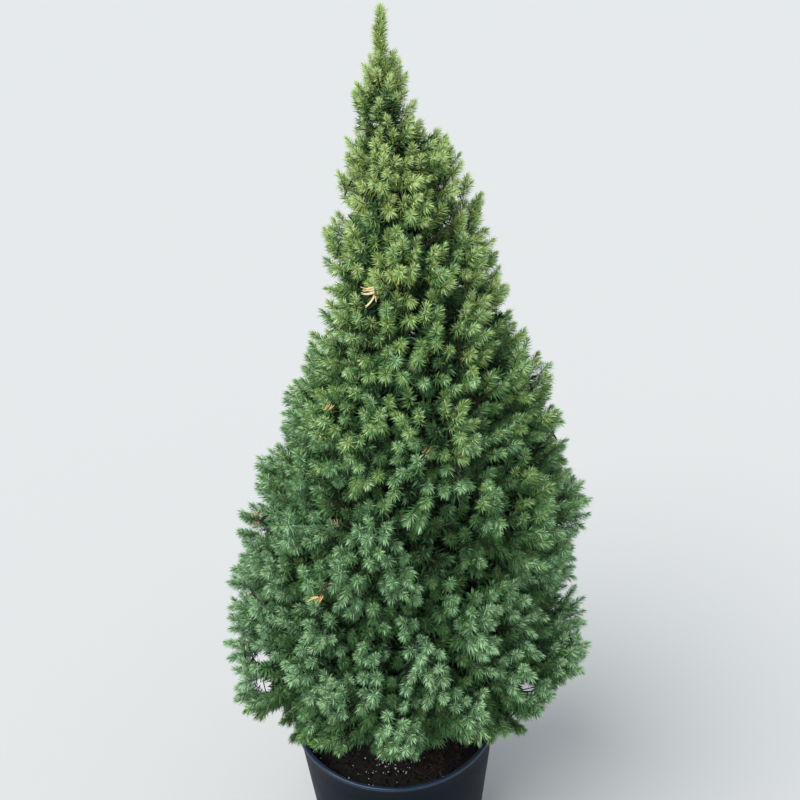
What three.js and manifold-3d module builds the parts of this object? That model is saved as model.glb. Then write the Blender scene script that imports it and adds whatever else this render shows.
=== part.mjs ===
// A dwarf Alberta spruce in a black nursery pot, as an assembly of separate solids.
// Millimetres, +Z up, with the origin at the centre of the pot's flat underside.
// The plant is a trunk, main boughs and foliage masses; the pot holds a plug of soil.

import * as THREE from "three";
import { mergeVertices } from "three/addons/utils/BufferGeometryUtils.js";
import Module from "manifold-3d";

const wasm = await Module();
wasm.setup();

// Driving dimensions
const seatGap = 0.3; // clearance where one piece rests on or meets another
const potHeight = 250;
const rimRadius = 150;
const wallTaper = 0.095; // how much the wall's radius shrinks for each unit of depth
const wallThickness = 2.4;
const lipHeight = 9;
const lipOverhang = 3.4;
const floorThickness = 3.6;
const soilDepthBelowRim = 24;
const trunkBaseRadius = 12.5;
const trunkTipRadius = 2.2;
const flareRadius = 8; // added to the trunk's radius at soil level
const flareHeight = 16;
const rootLobes = 4;
const lobeDepth = 0.16; // of the flare's radius
const plantTop = 1216;
const leaderLength = 104; // from the trunk's tip to the top of the plant
const leaderTuft = 20; // the last of the leader, which is all needles
const leaderBrush = 64; // length of the shoot that ends the leader
const depthShare = 0.84; // the crown is this much shallower than it is wide
const boughRise = 0.6; // how steeply the boughs climb outward
const boughStagger = 34; // the boughs of one tier leave the trunk over this height
const boughGirth = 0.44; // a bough's radius where it leaves the trunk, as a share of the trunk's
const boughTaper = 0.62; // its radius at the tip, as a share of that at its root
const boughClearance = 34; // from the soil to the lowest bough's root
const sprayLength = 78;
const sprayRadius = 18;

// The crown's outline from the front: height over the ground, then its reach to the left and the right.
const crownRows = [
  [286, -90, 105],
  [305, -150, 172],
  [335, -208, 230],
  [372, -245, 266],
  [414, -238, 284],
  [486, -225, 257],
  [553, -200, 246],
  [617, -186, 270],
  [679, -163, 238],
  [736, -134, 234],
  [793, -120, 206],
  [845, -88, 196],
  [897, -74, 160],
  [946, -64, 150],
  [992, -54, 128],
  [1037, -45, 116],
  [1081, -28, 88],
  [1103, -24, 60],
  [1143, -14, 44],
  [1174, 4, 34],
  [plantTop, 14, 19],
];

// The tiers of foliage from the top down. A mass in a tier without boughs hangs on the trunk by a stem.
const tiers = [
  { name: "leader", height: 1146, count: 1, turn: 0, plumes: 8, sides: 0, boughs: false },
  { name: "top", height: 1066, count: 3, turn: 15, plumes: 3, sides: 1, boughs: false },
  { name: "upper", height: 970, count: 4, turn: 0, plumes: 3, sides: 1, boughs: false },
  { name: "shoulder", height: 868, count: 4, turn: 42, plumes: 4, sides: 1, boughs: false },
  { name: "middle", height: 752, count: 5, turn: 0, plumes: 4, sides: 1, boughs: true },
  { name: "belly", height: 628, count: 5, turn: 36, plumes: 4, sides: 1, boughs: true },
  { name: "lower", height: 500, count: 6, turn: 0, plumes: 5, sides: 1, boughs: true },
  { name: "skirt", height: 376, count: 6, turn: 32, plumes: 5, sides: 1, boughs: true },
];

const soilLevel = potHeight - soilDepthBelowRim;
const trunkFoot = soilLevel + seatGap;
const trunkTip = plantTop - leaderLength;
const twigRadius = 2.6;
const stemTaper = 0.7;
const goldenAngle = 2.4;
const goldenShare = 0.618;
const azimuthSwing = 0.22; // radians over which the masses of one tier wander from even spacing
const heightSwing = 26;
const candidateCount = 90; // places tried for the tips of one mass
const tipBand = 200; // height over which those places are scattered
const sprayTaper = 0.62; // radius of a spray's outer whorl against its inner one
const waistTaper = 0.42; // radius of a spray between its whorls
const sideSpraySize = 0.85; // of a side spray against the spray that ends its twig
const sideSprayTries = 4;
const homeShare = 0.6; // where a mass is centred, as a share of the crown's reach
const entryShare = 0.36; // where a bough enters its mass
const coreInset = 50; // depth of the sprays outside a mass's core
const coreRadius = 118;
const coreStep = 3; // how finely the space round a core is felt out
const coreSquareness = 8; // how sharply a core's growth stops at its widest radius
const insetLimit = 0.3; // no inset takes more than this share of the crown's reach
const hubSpread = 0.16; // how far from its mass's home a twig may start, as a share of the crown's reach
const widestReach = 240; // reach above which a hub spreads no further
const shootRise = 1.1; // how steeply the shoots climb outward
const cellRoom = 2.5; // kept between a core and the edge of its mass's space

const black = { color: 0x23282e, roughness: 0.48, metalness: 0 };
const bark = { color: 0x6b5440, roughness: 0.9, metalness: 0 };
const earth = { color: 0x2b211a, roughness: 0.98, metalness: 0 };
const needles = { color: 0x4e7a4c, roughness: 0.72, metalness: 0 };

// Solids to and from three.js geometry

function solidOf(geometry) {
  const bare = geometry.clone();
  bare.deleteAttribute("normal");
  bare.deleteAttribute("uv");
  const merged = mergeVertices(bare, 1e-4);
  const solid = new wasm.Manifold(
    new wasm.Mesh({
      numProp: 3,
      vertProperties: merged.getAttribute("position").array,
      triVerts: new Uint32Array(merged.index.array),
    }),
  );
  return solid;
}

function geometryOf(solid) {
  const mesh = solid.getMesh();
  const geometry = new THREE.BufferGeometry();
  geometry.setAttribute("position", new THREE.BufferAttribute(mesh.vertProperties, 3));
  geometry.setIndex(new THREE.BufferAttribute(mesh.triVerts, 1));
  geometry.computeVertexNormals();
  return geometry;
}

function largestBody(solid) {
  const bodies = solid.decompose();
  bodies.sort((a, b) => b.volume() - a.volume());
  return bodies[0];
}

function upright(latheGeometry) {
  return latheGeometry.rotateX(Math.PI / 2);
}

// A repeatable stream of random numbers between 0 and 1

function randomStream(seed) {
  let state = (seed * 104729 + 77731) % 2147483647;
  const next = () => {
    state = (state * 16807) % 2147483647;
    return state / 2147483647;
  };
  next();
  next();
  return next;
}

// The crown's envelope

function crownAt(height) {
  let row = 1;
  while (row < crownRows.length - 1 && crownRows[row][0] < height) row += 1;
  const [lowHeight, lowLeft, lowRight] = crownRows[row - 1];
  const [highHeight, highLeft, highRight] = crownRows[row];
  const share = THREE.MathUtils.clamp((height - lowHeight) / (highHeight - lowHeight), 0, 1);
  const left = THREE.MathUtils.lerp(lowLeft, highLeft, share);
  const right = THREE.MathUtils.lerp(lowRight, highRight, share);
  return { centre: (left + right) / 2, reach: (right - left) / 2 };
}

function crownPoint(azimuth, height, share) {
  const { centre, reach } = crownAt(height);
  return new THREE.Vector3(
    centre + reach * share * Math.cos(azimuth),
    depthShare * reach * share * Math.sin(azimuth),
    height,
  );
}

// How far out a point lies, as a share of the crown's reach less an inset.
function crownShare(point, inset) {
  const { centre, reach } = crownAt(point.z);
  const inner = reach - Math.min(inset, insetLimit * reach);
  return Math.hypot(point.x - centre, point.y / depthShare) / inner;
}

function insideCrown(point, inset) {
  if (point.z < crownRows[0][0] || point.z > plantTop + seatGap) return false;
  return crownShare(point, inset) <= 1;
}

// Trunk and boughs: a limb is a curve with a radius along it

const trunkLine = new THREE.CatmullRomCurve3([
  new THREE.Vector3(0, 0, trunkFoot),
  new THREE.Vector3(3, 4, 420),
  new THREE.Vector3(11, 3, 660),
  new THREE.Vector3(17, -3, 900),
  new THREE.Vector3(16.5, 0, trunkTip),
]);

function trunkAt(height) {
  const share = THREE.MathUtils.clamp((height - trunkFoot) / (trunkTip - trunkFoot), 0, 1);
  const centre = trunkLine.getPointAt(share);
  return new THREE.Vector3(centre.x, centre.y, height);
}

function trunkRadius(height) {
  const share = (height - trunkFoot) / (trunkTip - trunkFoot);
  const flare = flareRadius * Math.exp(-(height - trunkFoot) / flareHeight);
  return THREE.MathUtils.lerp(trunkBaseRadius, trunkTipRadius, share) + flare;
}

// The trunk's rings lie level, so that its foot is a flat cut on the soil.
function trunkSolid(extra) {
  const sides = 12;
  const steps = 12;
  const crowding = 1.7; // the rings stand closer together near the foot
  const shape = new THREE.CylinderGeometry(1, 1, 1, sides, steps);
  const place = shape.getAttribute("position");
  const low = trunkFoot - (extra > 0 ? seatGap : 0);
  const high = trunkTip + extra;
  for (let i = 0; i < place.count; i += 1) {
    const share = THREE.MathUtils.clamp(place.getY(i) + 0.5, 0, 1) ** crowding;
    const height = THREE.MathUtils.lerp(low, high, share);
    const angle = Math.atan2(place.getZ(i), place.getX(i));
    const rim = Math.hypot(place.getX(i), place.getZ(i));
    const flare = Math.exp(-(height - low) / flareHeight);
    const lobe = 1 + lobeDepth * flare * Math.cos(rootLobes * angle);
    const radius = rim * (trunkRadius(Math.max(height, trunkFoot)) * lobe + extra);
    const centre = trunkAt(THREE.MathUtils.clamp(height, trunkFoot, trunkTip));
    place.setXYZ(i, centre.x + radius * Math.cos(angle), centre.y - radius * Math.sin(angle), height);
  }
  return solidOf(shape);
}

function limbSolid(limb, sides, steps) {
  const shape = new THREE.CylinderGeometry(1, 1, 1, sides, steps);
  const place = shape.getAttribute("position");
  for (let i = 0; i < place.count; i += 1) {
    const along = THREE.MathUtils.clamp(place.getY(i) + 0.5, 0, 1);
    const ahead = limb.line.getTangent(along);
    const reference = Math.abs(ahead.z) > 0.99 ? new THREE.Vector3(0, 1, 0) : new THREE.Vector3(0, 0, 1);
    const side = new THREE.Vector3().crossVectors(ahead, reference).normalize();
    const over = new THREE.Vector3().crossVectors(side, ahead);
    const radius = THREE.MathUtils.lerp(limb.rootRadius, limb.tipRadius, along);
    const spot = limb.line.getPoint(along);
    spot.addScaledVector(side, place.getX(i) * radius);
    spot.addScaledVector(over, place.getZ(i) * radius);
    place.setXYZ(i, spot.x, spot.y, spot.z);
  }
  return solidOf(shape);
}

function boughSolid(bough, extra) {
  const { line, rootRadius, tipRadius } = bough;
  return limbSolid({ line, rootRadius: rootRadius + extra, tipRadius: tipRadius + extra }, 6, 2);
}

// Where each foliage mass has its home, and the limb that carries it

function placeMasses() {
  const masses = [];
  tiers.forEach((tier, level) => {
    for (let i = 0; i < tier.count; i += 1) {
      const random = randomStream(masses.length + 1);
      const swing = tier.count > 1 ? (random() - 0.5) * azimuthSwing : 0;
      const azimuth = THREE.MathUtils.degToRad(tier.turn + (360 * i) / tier.count) + swing;
      const height = tier.height + (tier.count > 1 ? (random() - 0.5) * heightSwing : 0);
      const share = tier.count > 1 ? homeShare : 0;
      const name = tier.count > 1 ? tier.name + "_" + (i + 1) : tier.name;
      const home = crownPoint(azimuth, height, share);
      const stagger = boughStagger * ((goldenShare * i) % 1);
      masses.push({ name, tier, level, azimuth, height, home, stagger, random, leaned: leaned(home) });
    }
  });
  return masses;
}

// The masses share the crown out between them: each owns the points nearest to its home,
// measured after the crown is sheared level, so that the borders climb outward as the boughs do.
function leaned(point) {
  const { x, y } = trunkAt(point.z);
  const out = Math.hypot(point.x - x, point.y - y);
  return new THREE.Vector3(point.x, point.y, point.z - boughRise * out);
}

function roomInside(mass, point) {
  const spot = leaned(point);
  let room = Infinity;
  for (const other of masses) {
    if (other === mass) continue;
    const apart = new THREE.Vector3().subVectors(other.leaned, mass.leaned);
    const middle = new THREE.Vector3().addVectors(other.leaned, mass.leaned).multiplyScalar(0.5);
    const distance = middle.sub(spot).dot(apart) / apart.length();
    room = Math.min(room, distance / Math.hypot(1, boughRise));
  }
  return room;
}

// A bough leaves the trunk at a wide angle and sweeps up to where it enters its mass.
function boughLimb(mass) {
  const { reach } = crownAt(mass.height);
  const entry = crownPoint(mass.azimuth, mass.height, entryShare);
  entry.z -= 0.55 * boughRise * (homeShare - entryShare) * reach;
  const drop = 0.8 * boughRise * entryShare * reach + mass.stagger;
  const startHeight = Math.max(entry.z - drop, soilLevel + boughClearance);
  const start = trunkAt(startHeight);
  const bend = new THREE.Vector3().lerpVectors(start, entry, 0.55);
  bend.z = THREE.MathUtils.lerp(start.z, entry.z, 0.3);
  const aboveFlare = soilLevel + 5 * flareHeight;
  const rootRadius = boughGirth * trunkRadius(Math.max(startHeight, aboveFlare));
  const line = new THREE.QuadraticBezierCurve3(start, bend, entry);
  return { line, rootRadius, tipRadius: boughTaper * rootRadius };
}

function distanceToLimb(limb, point) {
  const steps = 8;
  let least = Infinity;
  for (let i = 0; i < steps; i += 1) {
    const piece = new THREE.Line3(limb.line.getPoint(i / steps), limb.line.getPoint((i + 1) / steps));
    const share = piece.closestPointToPointParameter(point, true);
    const radius = THREE.MathUtils.lerp(limb.rootRadius, limb.tipRadius, (i + share) / steps);
    least = Math.min(least, piece.at(share, new THREE.Vector3()).distanceTo(point) - radius);
  }
  return least;
}

function clearOfLimbs(point, room) {
  if (point.z < trunkTip + room) {
    const centre = trunkAt(point.z);
    const out = Math.hypot(point.x - centre.x, point.y - centre.y);
    if (out < trunkRadius(Math.max(point.z, trunkFoot)) + room) return false;
  }
  return masses.every((mass) => !mass.bough || distanceToLimb(mass.bough, point) > room);
}

// Foliage: a rounded core, twigs from the mass's stem, and toothed sprays of needles

// A lobe that fills the middle of the mass's own space, well inside the crown's outline.
function coreSolid(mass) {
  const shape = new THREE.IcosahedronGeometry(1, 1);
  const place = shape.getAttribute("position");
  const ray = new THREE.Vector3();
  const spot = new THREE.Vector3();
  for (let i = 0; i < place.count; i += 1) {
    ray.fromBufferAttribute(place, i).normalize();
    let reach = coreStep;
    for (; reach < 2 * coreRadius; reach += coreStep) {
      spot.copy(mass.home).addScaledVector(ray, reach + coreStep);
      const free = roomInside(mass, spot) > cellRoom && clearOfLimbs(spot, cellRoom);
      if (!free || !insideCrown(spot, coreInset) || crownShare(spot, 0) < entryShare + 0.05) break;
    }
    const round = (reach ** -coreSquareness + coreRadius ** -coreSquareness) ** (-1 / coreSquareness);
    spot.copy(mass.home).addScaledVector(ray, round);
    place.setXYZ(i, spot.x, spot.y, spot.z);
  }
  return solidOf(shape);
}

// A spray is a slim three-sided core with whorls of needle points swept forward: two on the spray
// that ends a twig and one on a side spray. Its stalk, when it has one, is the twig that it ends.
function spraySolid(root, direction, stalk, size, roll, whorls) {
  const { length, radius } = size;
  const profile = [new THREE.Vector2(0, 0)];
  if (stalk > 0) profile.push(new THREE.Vector2(twigRadius, stalk));
  profile.push(new THREE.Vector2(radius, stalk + 0.5 * length));
  profile.push(new THREE.Vector2(waistTaper * radius, stalk + 0.45 * length));
  if (whorls > 1) profile.push(new THREE.Vector2(sprayTaper * radius, stalk + 0.84 * length));
  profile.push(new THREE.Vector2(0, stalk + length));
  const shape = upright(new THREE.LatheGeometry(profile, 3));
  shape.rotateZ(roll);
  const turn = new THREE.Quaternion().setFromUnitVectors(new THREE.Vector3(0, 0, 1), direction);
  shape.applyQuaternion(turn);
  shape.translate(root.x, root.y, root.z);
  return solidOf(shape);
}

function sprayFits(mass, root, direction, { length, radius }) {
  const samples = [0.3, 0.5, 0.7, 0.84, 1];
  return samples.every((share) => {
    const point = root.clone().addScaledVector(direction, share * length);
    const half = share < 1 ? radius * (share > 0.6 ? sprayTaper : 1) : 0;
    if (roomInside(mass, point) < 0.6 * half + 1) return false;
    if (!insideCrown(point, -3)) return false;
    return clearOfLimbs(point, half + 1);
  });
}

// An even scatter of whole numbers over 0 to 1
function halton(index, base) {
  let share = 1;
  let value = 0;
  for (let i = index; i > 0; i = Math.floor(i / base)) {
    share /= base;
    value += share * (i % base);
  }
  return value;
}

// The tips of a mass's plumes. The first stands in the middle of the mass's share of the crown's surface,
// or at the plant's top. Candidates are scattered evenly over the rest of that share, and each tip taken
// after it is the candidate farthest from those taken before.
function plumeTips(mass) {
  const { tier } = mass;
  const { reach } = crownAt(mass.height);
  const alone = tier.count === 1;
  const lift = alone ? 0 : boughRise * (1 - homeShare) * reach;
  const span = (2 * Math.PI) / tier.count;
  const candidates = [];
  for (let i = 1; i <= candidateCount; i += 1) {
    const azimuth = mass.azimuth + 1.2 * span * (halton(i, 2) - 0.5);
    const height = mass.height + lift + (alone ? 0.35 : 1) * tipBand * (halton(i, 3) - 0.5);
    if (height > plantTop - 30 || height < crownRows[0][0] + 8) continue;
    const tip = crownPoint(azimuth, height, 1 - 0.07 * halton(i, 5));
    if (roomInside(mass, tip) > 5) candidates.push(tip);
  }
  const tips = [alone ? trunkAt(plantTop).setZ(plantTop) : crownPoint(mass.azimuth, mass.height + lift, 1)];
  while (tips.length < tier.plumes) {
    const apart = (tip) => Math.min(...tips.map((other) => other.distanceTo(tip)));
    tips.push(candidates.reduce((best, tip) => (apart(tip) > apart(best) ? tip : best)));
  }
  return tips;
}

// Where the twig to a plume's tip leaves the mass's stem
function hubFor(mass, tip) {
  if (mass.tier.count > 1) {
    const axis = trunkAt(tip.z);
    const climb = new THREE.Vector3().subVectors(tip, axis).normalize();
    climb.z = shootRise;
    climb.normalize();
    const across = new THREE.Vector3().subVectors(tip, mass.home);
    across.addScaledVector(climb, -across.dot(climb));
    const spread = hubSpread * Math.min(crownAt(mass.height).reach, widestReach);
    return mass.home.clone().add(across.clampLength(0, spread));
  }
  const out = Math.hypot(tip.x - mass.home.x, tip.y - mass.home.y);
  const drop = tip.z < plantTop ? 0.9 * out + leaderTuft : leaderBrush;
  return new THREE.Vector3(mass.home.x, mass.home.y, Math.max(tip.z - drop, trunkTip + 4));
}

// The plumes of one mass: a twig to each tip, a spray at its end and side sprays along it
function plumes(mass) {
  const pieces = [];
  const { reach } = crownAt(mass.height);
  const length = sprayLength * THREE.MathUtils.clamp(0.35 + reach / 200, 0.5, 1);
  const radius = sprayRadius * THREE.MathUtils.clamp(0.35 + reach / 240, 0.45, 1);
  for (const tip of plumeTips(mass)) {
    const hub = hubFor(mass, tip);
    const aim = new THREE.Vector3().subVectors(tip, hub);
    const stalk = Math.max(aim.length() - length, 0.3 * aim.length());
    const endSize = { length: aim.length() - stalk, radius };
    const sideSize = { length: 0.9 * endSize.length, radius: sideSpraySize * radius };
    const sideStalk = 0.6 * stalk;
    aim.normalize();
    const root = hub.clone().addScaledVector(aim, stalk);
    if (!sprayFits(mass, root, aim, endSize)) continue;
    pieces.push(spraySolid(hub, aim, stalk, endSize, 2 * Math.PI * mass.random(), 2));
    const across = new THREE.Vector3().crossVectors(aim, new THREE.Vector3(0, 0, 1)).normalize();
    for (let i = 0; i < mass.tier.sides; i += 1) {
      const start = new THREE.Vector3().lerpVectors(hub, root, 0.3 + 0.3 * i);
      for (let attempt = 0; attempt < sideSprayTries; attempt += 1) {
        const around = 3 * i + goldenAngle * attempt + mass.random();
        const side = across.clone().applyAxisAngle(aim, around);
        const heading = aim.clone().addScaledVector(side, 0.75);
        heading.z += 0.2;
        heading.normalize();
        const sideRoot = start.clone().addScaledVector(heading, sideStalk);
        if (!sprayFits(mass, sideRoot, heading, sideSize)) continue;
        pieces.push(spraySolid(start, heading, sideStalk, sideSize, 2 * Math.PI * mass.random(), 1));
        break;
      }
    }
  }
  return pieces;
}

// The stem that joins a mass to its bough's tip or to the trunk
function stemLine(mass) {
  const { tier, home, bough } = mass;
  if (bough) {
    const entry = bough.line.getPoint(1).addScaledVector(bough.line.getTangent(1), seatGap);
    const bend = entry.clone().addScaledVector(bough.line.getTangent(1), 0.4 * entry.distanceTo(home));
    return new THREE.QuadraticBezierCurve3(entry, bend, home);
  }
  if (tier.count === 1) {
    const top = trunkAt(trunkTip);
    return new THREE.LineCurve3(top.clone().setZ(trunkTip - 4), top.clone().setZ(plantTop - leaderTuft));
  }
  const axis = trunkAt(mass.height);
  const start = trunkAt(mass.height - 0.9 * boughRise * home.distanceTo(axis) - 0.4 * mass.stagger);
  return new THREE.LineCurve3(start, home);
}

function stemSolid(mass) {
  const start = mass.stem.getPoint(0);
  const rootRadius = mass.bough ? mass.bough.tipRadius : Math.max(0.5 * trunkRadius(start.z), 2);
  const limb = { line: mass.stem, rootRadius, tipRadius: stemTaper * rootRadius };
  return limbSolid(limb, 5, 1);
}

function foliageSolid(mass, trunkEnvelope) {
  let solid = stemSolid(mass);
  if (mass.tier.count > 1) solid = solid.add(coreSolid(mass));
  for (const piece of plumes(mass)) solid = solid.add(piece);
  return largestBody(solid.subtract(mass.bough ? boughSolid(mass.bough, seatGap) : trunkEnvelope));
}

// The pot, a thin tapering shell with a rolled lip and drain slots round its foot

function wallRadius(height) {
  return rimRadius - lipOverhang - wallTaper * (potHeight - height);
}

function potSolid() {
  const segments = 32;
  const drainSlots = 8;
  const slotWidth = 16;
  const lipFoot = potHeight - lipHeight;
  const inner = (height) => wallRadius(height) - wallThickness;
  const profile = [
    new THREE.Vector2(0, 0),
    new THREE.Vector2(wallRadius(0) - 3, 0),
    new THREE.Vector2(wallRadius(3), 3),
    new THREE.Vector2(wallRadius(lipFoot), lipFoot),
    new THREE.Vector2(rimRadius - 0.6, lipFoot + 1.4),
    new THREE.Vector2(rimRadius, potHeight - 3),
    new THREE.Vector2(rimRadius - 1.8, potHeight),
    new THREE.Vector2(inner(potHeight) + 1.2, potHeight),
    new THREE.Vector2(inner(potHeight) - 0.4, potHeight - 3),
    new THREE.Vector2(inner(lipFoot), lipFoot),
    new THREE.Vector2(inner(floorThickness), floorThickness),
    new THREE.Vector2(0, floorThickness),
  ];
  let pot = solidOf(upright(new THREE.LatheGeometry(profile, segments)));
  for (let i = 0; i < drainSlots; i += 1) {
    const slot = new THREE.BoxGeometry(26, slotWidth, 2 * floorThickness + 4);
    slot.translate(wallRadius(0) - slotWidth / 2, 0, 0);
    slot.rotateZ((2 * Math.PI * (i + 0.5)) / drainSlots);
    pot = pot.subtract(solidOf(slot));
  }
  return pot;
}

// The soil fills the pot to a little under its rim, with a low mound round a level middle.
function soilSolid() {
  const segments = 32;
  const side = (height) => wallRadius(height) - wallThickness - seatGap - 0.4;
  const low = floorThickness + seatGap;
  const edge = soilLevel - 7;
  const profile = [
    new THREE.Vector2(0, low),
    new THREE.Vector2(side(low), low),
    new THREE.Vector2(side(edge), edge),
    new THREE.Vector2(side(edge) - 16, soilLevel - 3),
    new THREE.Vector2(82, soilLevel - 1.5),
    new THREE.Vector2(36, soilLevel),
    new THREE.Vector2(0, soilLevel),
  ];
  const shape = upright(new THREE.LatheGeometry(profile, segments));
  const place = shape.getAttribute("position");
  for (let i = 0; i < place.count; i += 1) {
    const out = Math.hypot(place.getX(i), place.getY(i));
    if (place.getZ(i) < edge || out < 40) continue;
    const angle = Math.atan2(place.getY(i), place.getX(i));
    const lump = 1.6 * Math.sin(5 * angle + 0.06 * out) + 1.1 * Math.sin(11 * angle - 0.1 * out);
    place.setZ(i, place.getZ(i) + lump);
  }
  return solidOf(shape);
}

// The assembly

function addNode(group, name, solid, finish) {
  const mesh = new THREE.Mesh(geometryOf(solid), new THREE.MeshStandardMaterial(finish));
  mesh.name = name;
  group.add(mesh);
}

const masses = placeMasses();
for (const mass of masses) {
  if (mass.tier.boughs) mass.bough = boughLimb(mass);
  mass.stem = stemLine(mass);
}

const group = new THREE.Group();
addNode(group, "pot", potSolid(), black);
addNode(group, "soil", soilSolid(), earth);
addNode(group, "trunk", trunkSolid(0), bark);

const trunkEnvelope = trunkSolid(seatGap);
for (const mass of masses) {
  if (mass.bough) {
    const bough = largestBody(boughSolid(mass.bough, 0).subtract(trunkEnvelope));
    addNode(group, "bough_" + mass.name, bough, bark);
  }
  addNode(group, "foliage_" + mass.name, foliageSolid(mass, trunkEnvelope), needles);
}

export default group;
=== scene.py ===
import math

import bpy
import numpy as np
from mathutils import Matrix


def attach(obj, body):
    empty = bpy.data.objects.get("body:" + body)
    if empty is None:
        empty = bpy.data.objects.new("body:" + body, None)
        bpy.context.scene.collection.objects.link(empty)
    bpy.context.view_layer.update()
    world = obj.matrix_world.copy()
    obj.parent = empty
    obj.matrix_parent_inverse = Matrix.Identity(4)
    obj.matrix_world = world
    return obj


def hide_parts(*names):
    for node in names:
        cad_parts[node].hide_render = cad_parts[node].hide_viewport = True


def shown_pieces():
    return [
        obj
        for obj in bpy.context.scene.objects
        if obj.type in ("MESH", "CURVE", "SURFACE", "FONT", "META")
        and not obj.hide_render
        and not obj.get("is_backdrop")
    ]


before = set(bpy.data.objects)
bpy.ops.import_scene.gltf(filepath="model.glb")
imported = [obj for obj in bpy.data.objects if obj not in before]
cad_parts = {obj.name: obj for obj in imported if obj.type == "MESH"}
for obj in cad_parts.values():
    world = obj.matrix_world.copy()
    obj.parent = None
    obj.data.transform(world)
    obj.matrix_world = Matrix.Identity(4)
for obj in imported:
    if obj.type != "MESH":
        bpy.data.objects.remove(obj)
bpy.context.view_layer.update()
print("frame loaded:", len(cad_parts), "solids")

# Lengths are in millimetres until a mesh is written; metre turns them into the frame's own.
metre = 0.001
goldenAngle = math.radians(137.508)
up = np.array([0.0, 0.0, 1.0])

# the plant's own rule, as its solids were grown

pot = {
    "height": 250,
    "rimRadius": 150,
    "wallTaper": 0.095,
    "wallThickness": 2.4,
    "lipHeight": 9,
    "lipOverhang": 3.4,
    "lipEdge": 3.2,
    "floorThickness": 3.6,
    "soilDepth": 24,
    "sides": 112,
    "smoothAngle": 38,
    "drainSlots": 8,
    "slotSize": (26, 16),
    "slotInset": 8,  # from the wall's foot to a slot's middle
    # near-black plastic tinted blue: the blue is a painted reflection of the sky
    "plastic": (0.0026, 0.0050, 0.0090),
    "roughness": (0.38, 0.58),
    # painted highlight: the lip's lighter, bluer colour stands for the sky's reflection along the rim
    "lip": (0.010, 0.022, 0.045),
    "lipRoughness": (0.16, 0.28),
    "dust": (0.014, 0.019, 0.026),
    "dustHeight": 75,
    "sheen": (0.50, 0.74, 1.0),
}
trunk = {
    "baseRadius": 12.5,
    "tipRadius": 2.2,
    "flareRadius": 8,
    "flareHeight": 16,
    "tipHeight": 1112,
    "rootLobes": 4,
    "lobeDepth": 0.16,
    "sides": 30,
    "rings": 230,
    "plateDepth": 0.075,  # relief of the bark as a share of the radius
    "heights": (226.3, 420, 660, 900, 1112),
    "leanX": (0, 3, 11, 17, 16.5),
    "leanY": (0, 4, 3, -3, 0),
    "bark": (0.115, 0.078, 0.050),
    "barkPale": (0.235, 0.180, 0.130),
    "barkDark": (0.030, 0.020, 0.014),
}
crown = {
    # height, reach to the left, reach to the right
    "rows": (
        (286, -90, 105), (305, -150, 172), (335, -208, 230), (372, -245, 266), (414, -238, 284),
        (486, -225, 257), (553, -200, 246), (617, -186, 270), (679, -163, 238), (736, -134, 234),
        (793, -120, 206), (845, -88, 196), (897, -74, 160), (946, -64, 150), (992, -54, 128),
        (1037, -45, 116), (1081, -28, 88), (1103, -24, 60), (1143, -14, 44), (1174, 4, 34),
        (1216, 14, 19),
    ),
    "top": 1216,
    "depthShare": 0.84,
    "azimuthSwing": 0.22,
    "heightSwing": 26,
    "boughRise": 0.6,
    "boughStagger": 34,
    "boughGirth": 0.44,  # of the trunk's radius
    "boughTaper": 0.62,
    "boughClearance": 34,
    "boughSteps": 22,
    "stemSteps": 12,
    "homeShare": 0.6,
    "entryShare": 0.36,
    "hubSpread": 0.16,
    "widestReach": 240,
    "shootRise": 1.1,
    "tipBand": 200,
    "candidates": 90,
    "cellRoom": 5,
    "lowPlumeHeight": 300,
}
# name, height, masses, turn, plumes in each mass, low plumes, carried by boughs
tiers = (
    ("leader", 1146, 1, 0, 7, 0, False),
    ("top", 1066, 3, 15, 5, 0, False),
    ("upper", 970, 4, 0, 5, 0, False),
    ("shoulder", 868, 4, 42, 6, 0, False),
    ("middle", 752, 5, 0, 6, 0, True),
    ("belly", 628, 5, 36, 7, 0, True),
    ("lower", 500, 6, 0, 7, 0, True),
    ("skirt", 376, 6, 32, 7, 2, True),
)

soilLevel = pot["height"] - pot["soilDepth"]
rowHeights = [row[0] for row in crown["rows"]]
rowLefts = [row[1] for row in crown["rows"]]
rowRights = [row[2] for row in crown["rows"]]
leanX = np.polyfit(trunk["heights"], trunk["leanX"], 4)
leanY = np.polyfit(trunk["heights"], trunk["leanY"], 4)


def unit(vector):
    vector = np.asarray(vector, float)
    return vector / np.maximum(np.linalg.norm(vector, axis=-1, keepdims=True), 1e-9)


def lerp(a, b, share):
    return a + (b - a) * share


# From 0 at the start to 1 after the run
def ramped(value, start, run):
    return np.clip((value - start) / run, 0, 1)


def randomStream(seed):
    state = [(seed * 104729 + 77731) % 2147483647]

    def draw():
        state[0] = state[0] * 16807 % 2147483647
        return state[0] / 2147483647

    draw()
    draw()
    return draw


def crownAt(height):
    left = np.interp(height, rowHeights, rowLefts)
    right = np.interp(height, rowHeights, rowRights)
    return (left + right) / 2, (right - left) / 2


def crownPoint(azimuth, height, share):
    centre, reach = crownAt(height)
    return np.array([
        centre + reach * share * math.cos(azimuth),
        crown["depthShare"] * reach * share * math.sin(azimuth),
        height,
    ])


# How far out points lie, as a share of the crown's reach.
def crownShare(points):
    centre, reach = crownAt(points[..., 2])
    return np.hypot(points[..., 0] - centre, points[..., 1] / crown["depthShare"]) / reach


def trunkAt(height):
    height = np.clip(height, trunk["heights"][0], trunk["tipHeight"])
    return np.stack([np.polyval(leanX, height), np.polyval(leanY, height), height], axis=-1)


def trunkRadius(height):
    foot = trunk["heights"][0]
    share = np.clip((height - foot) / (trunk["tipHeight"] - foot), 0, 1)
    flare = trunk["flareRadius"] * np.exp(-np.maximum(height - foot, 0) / trunk["flareHeight"])
    return lerp(trunk["baseRadius"], trunk["tipRadius"], share) + flare


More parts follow.
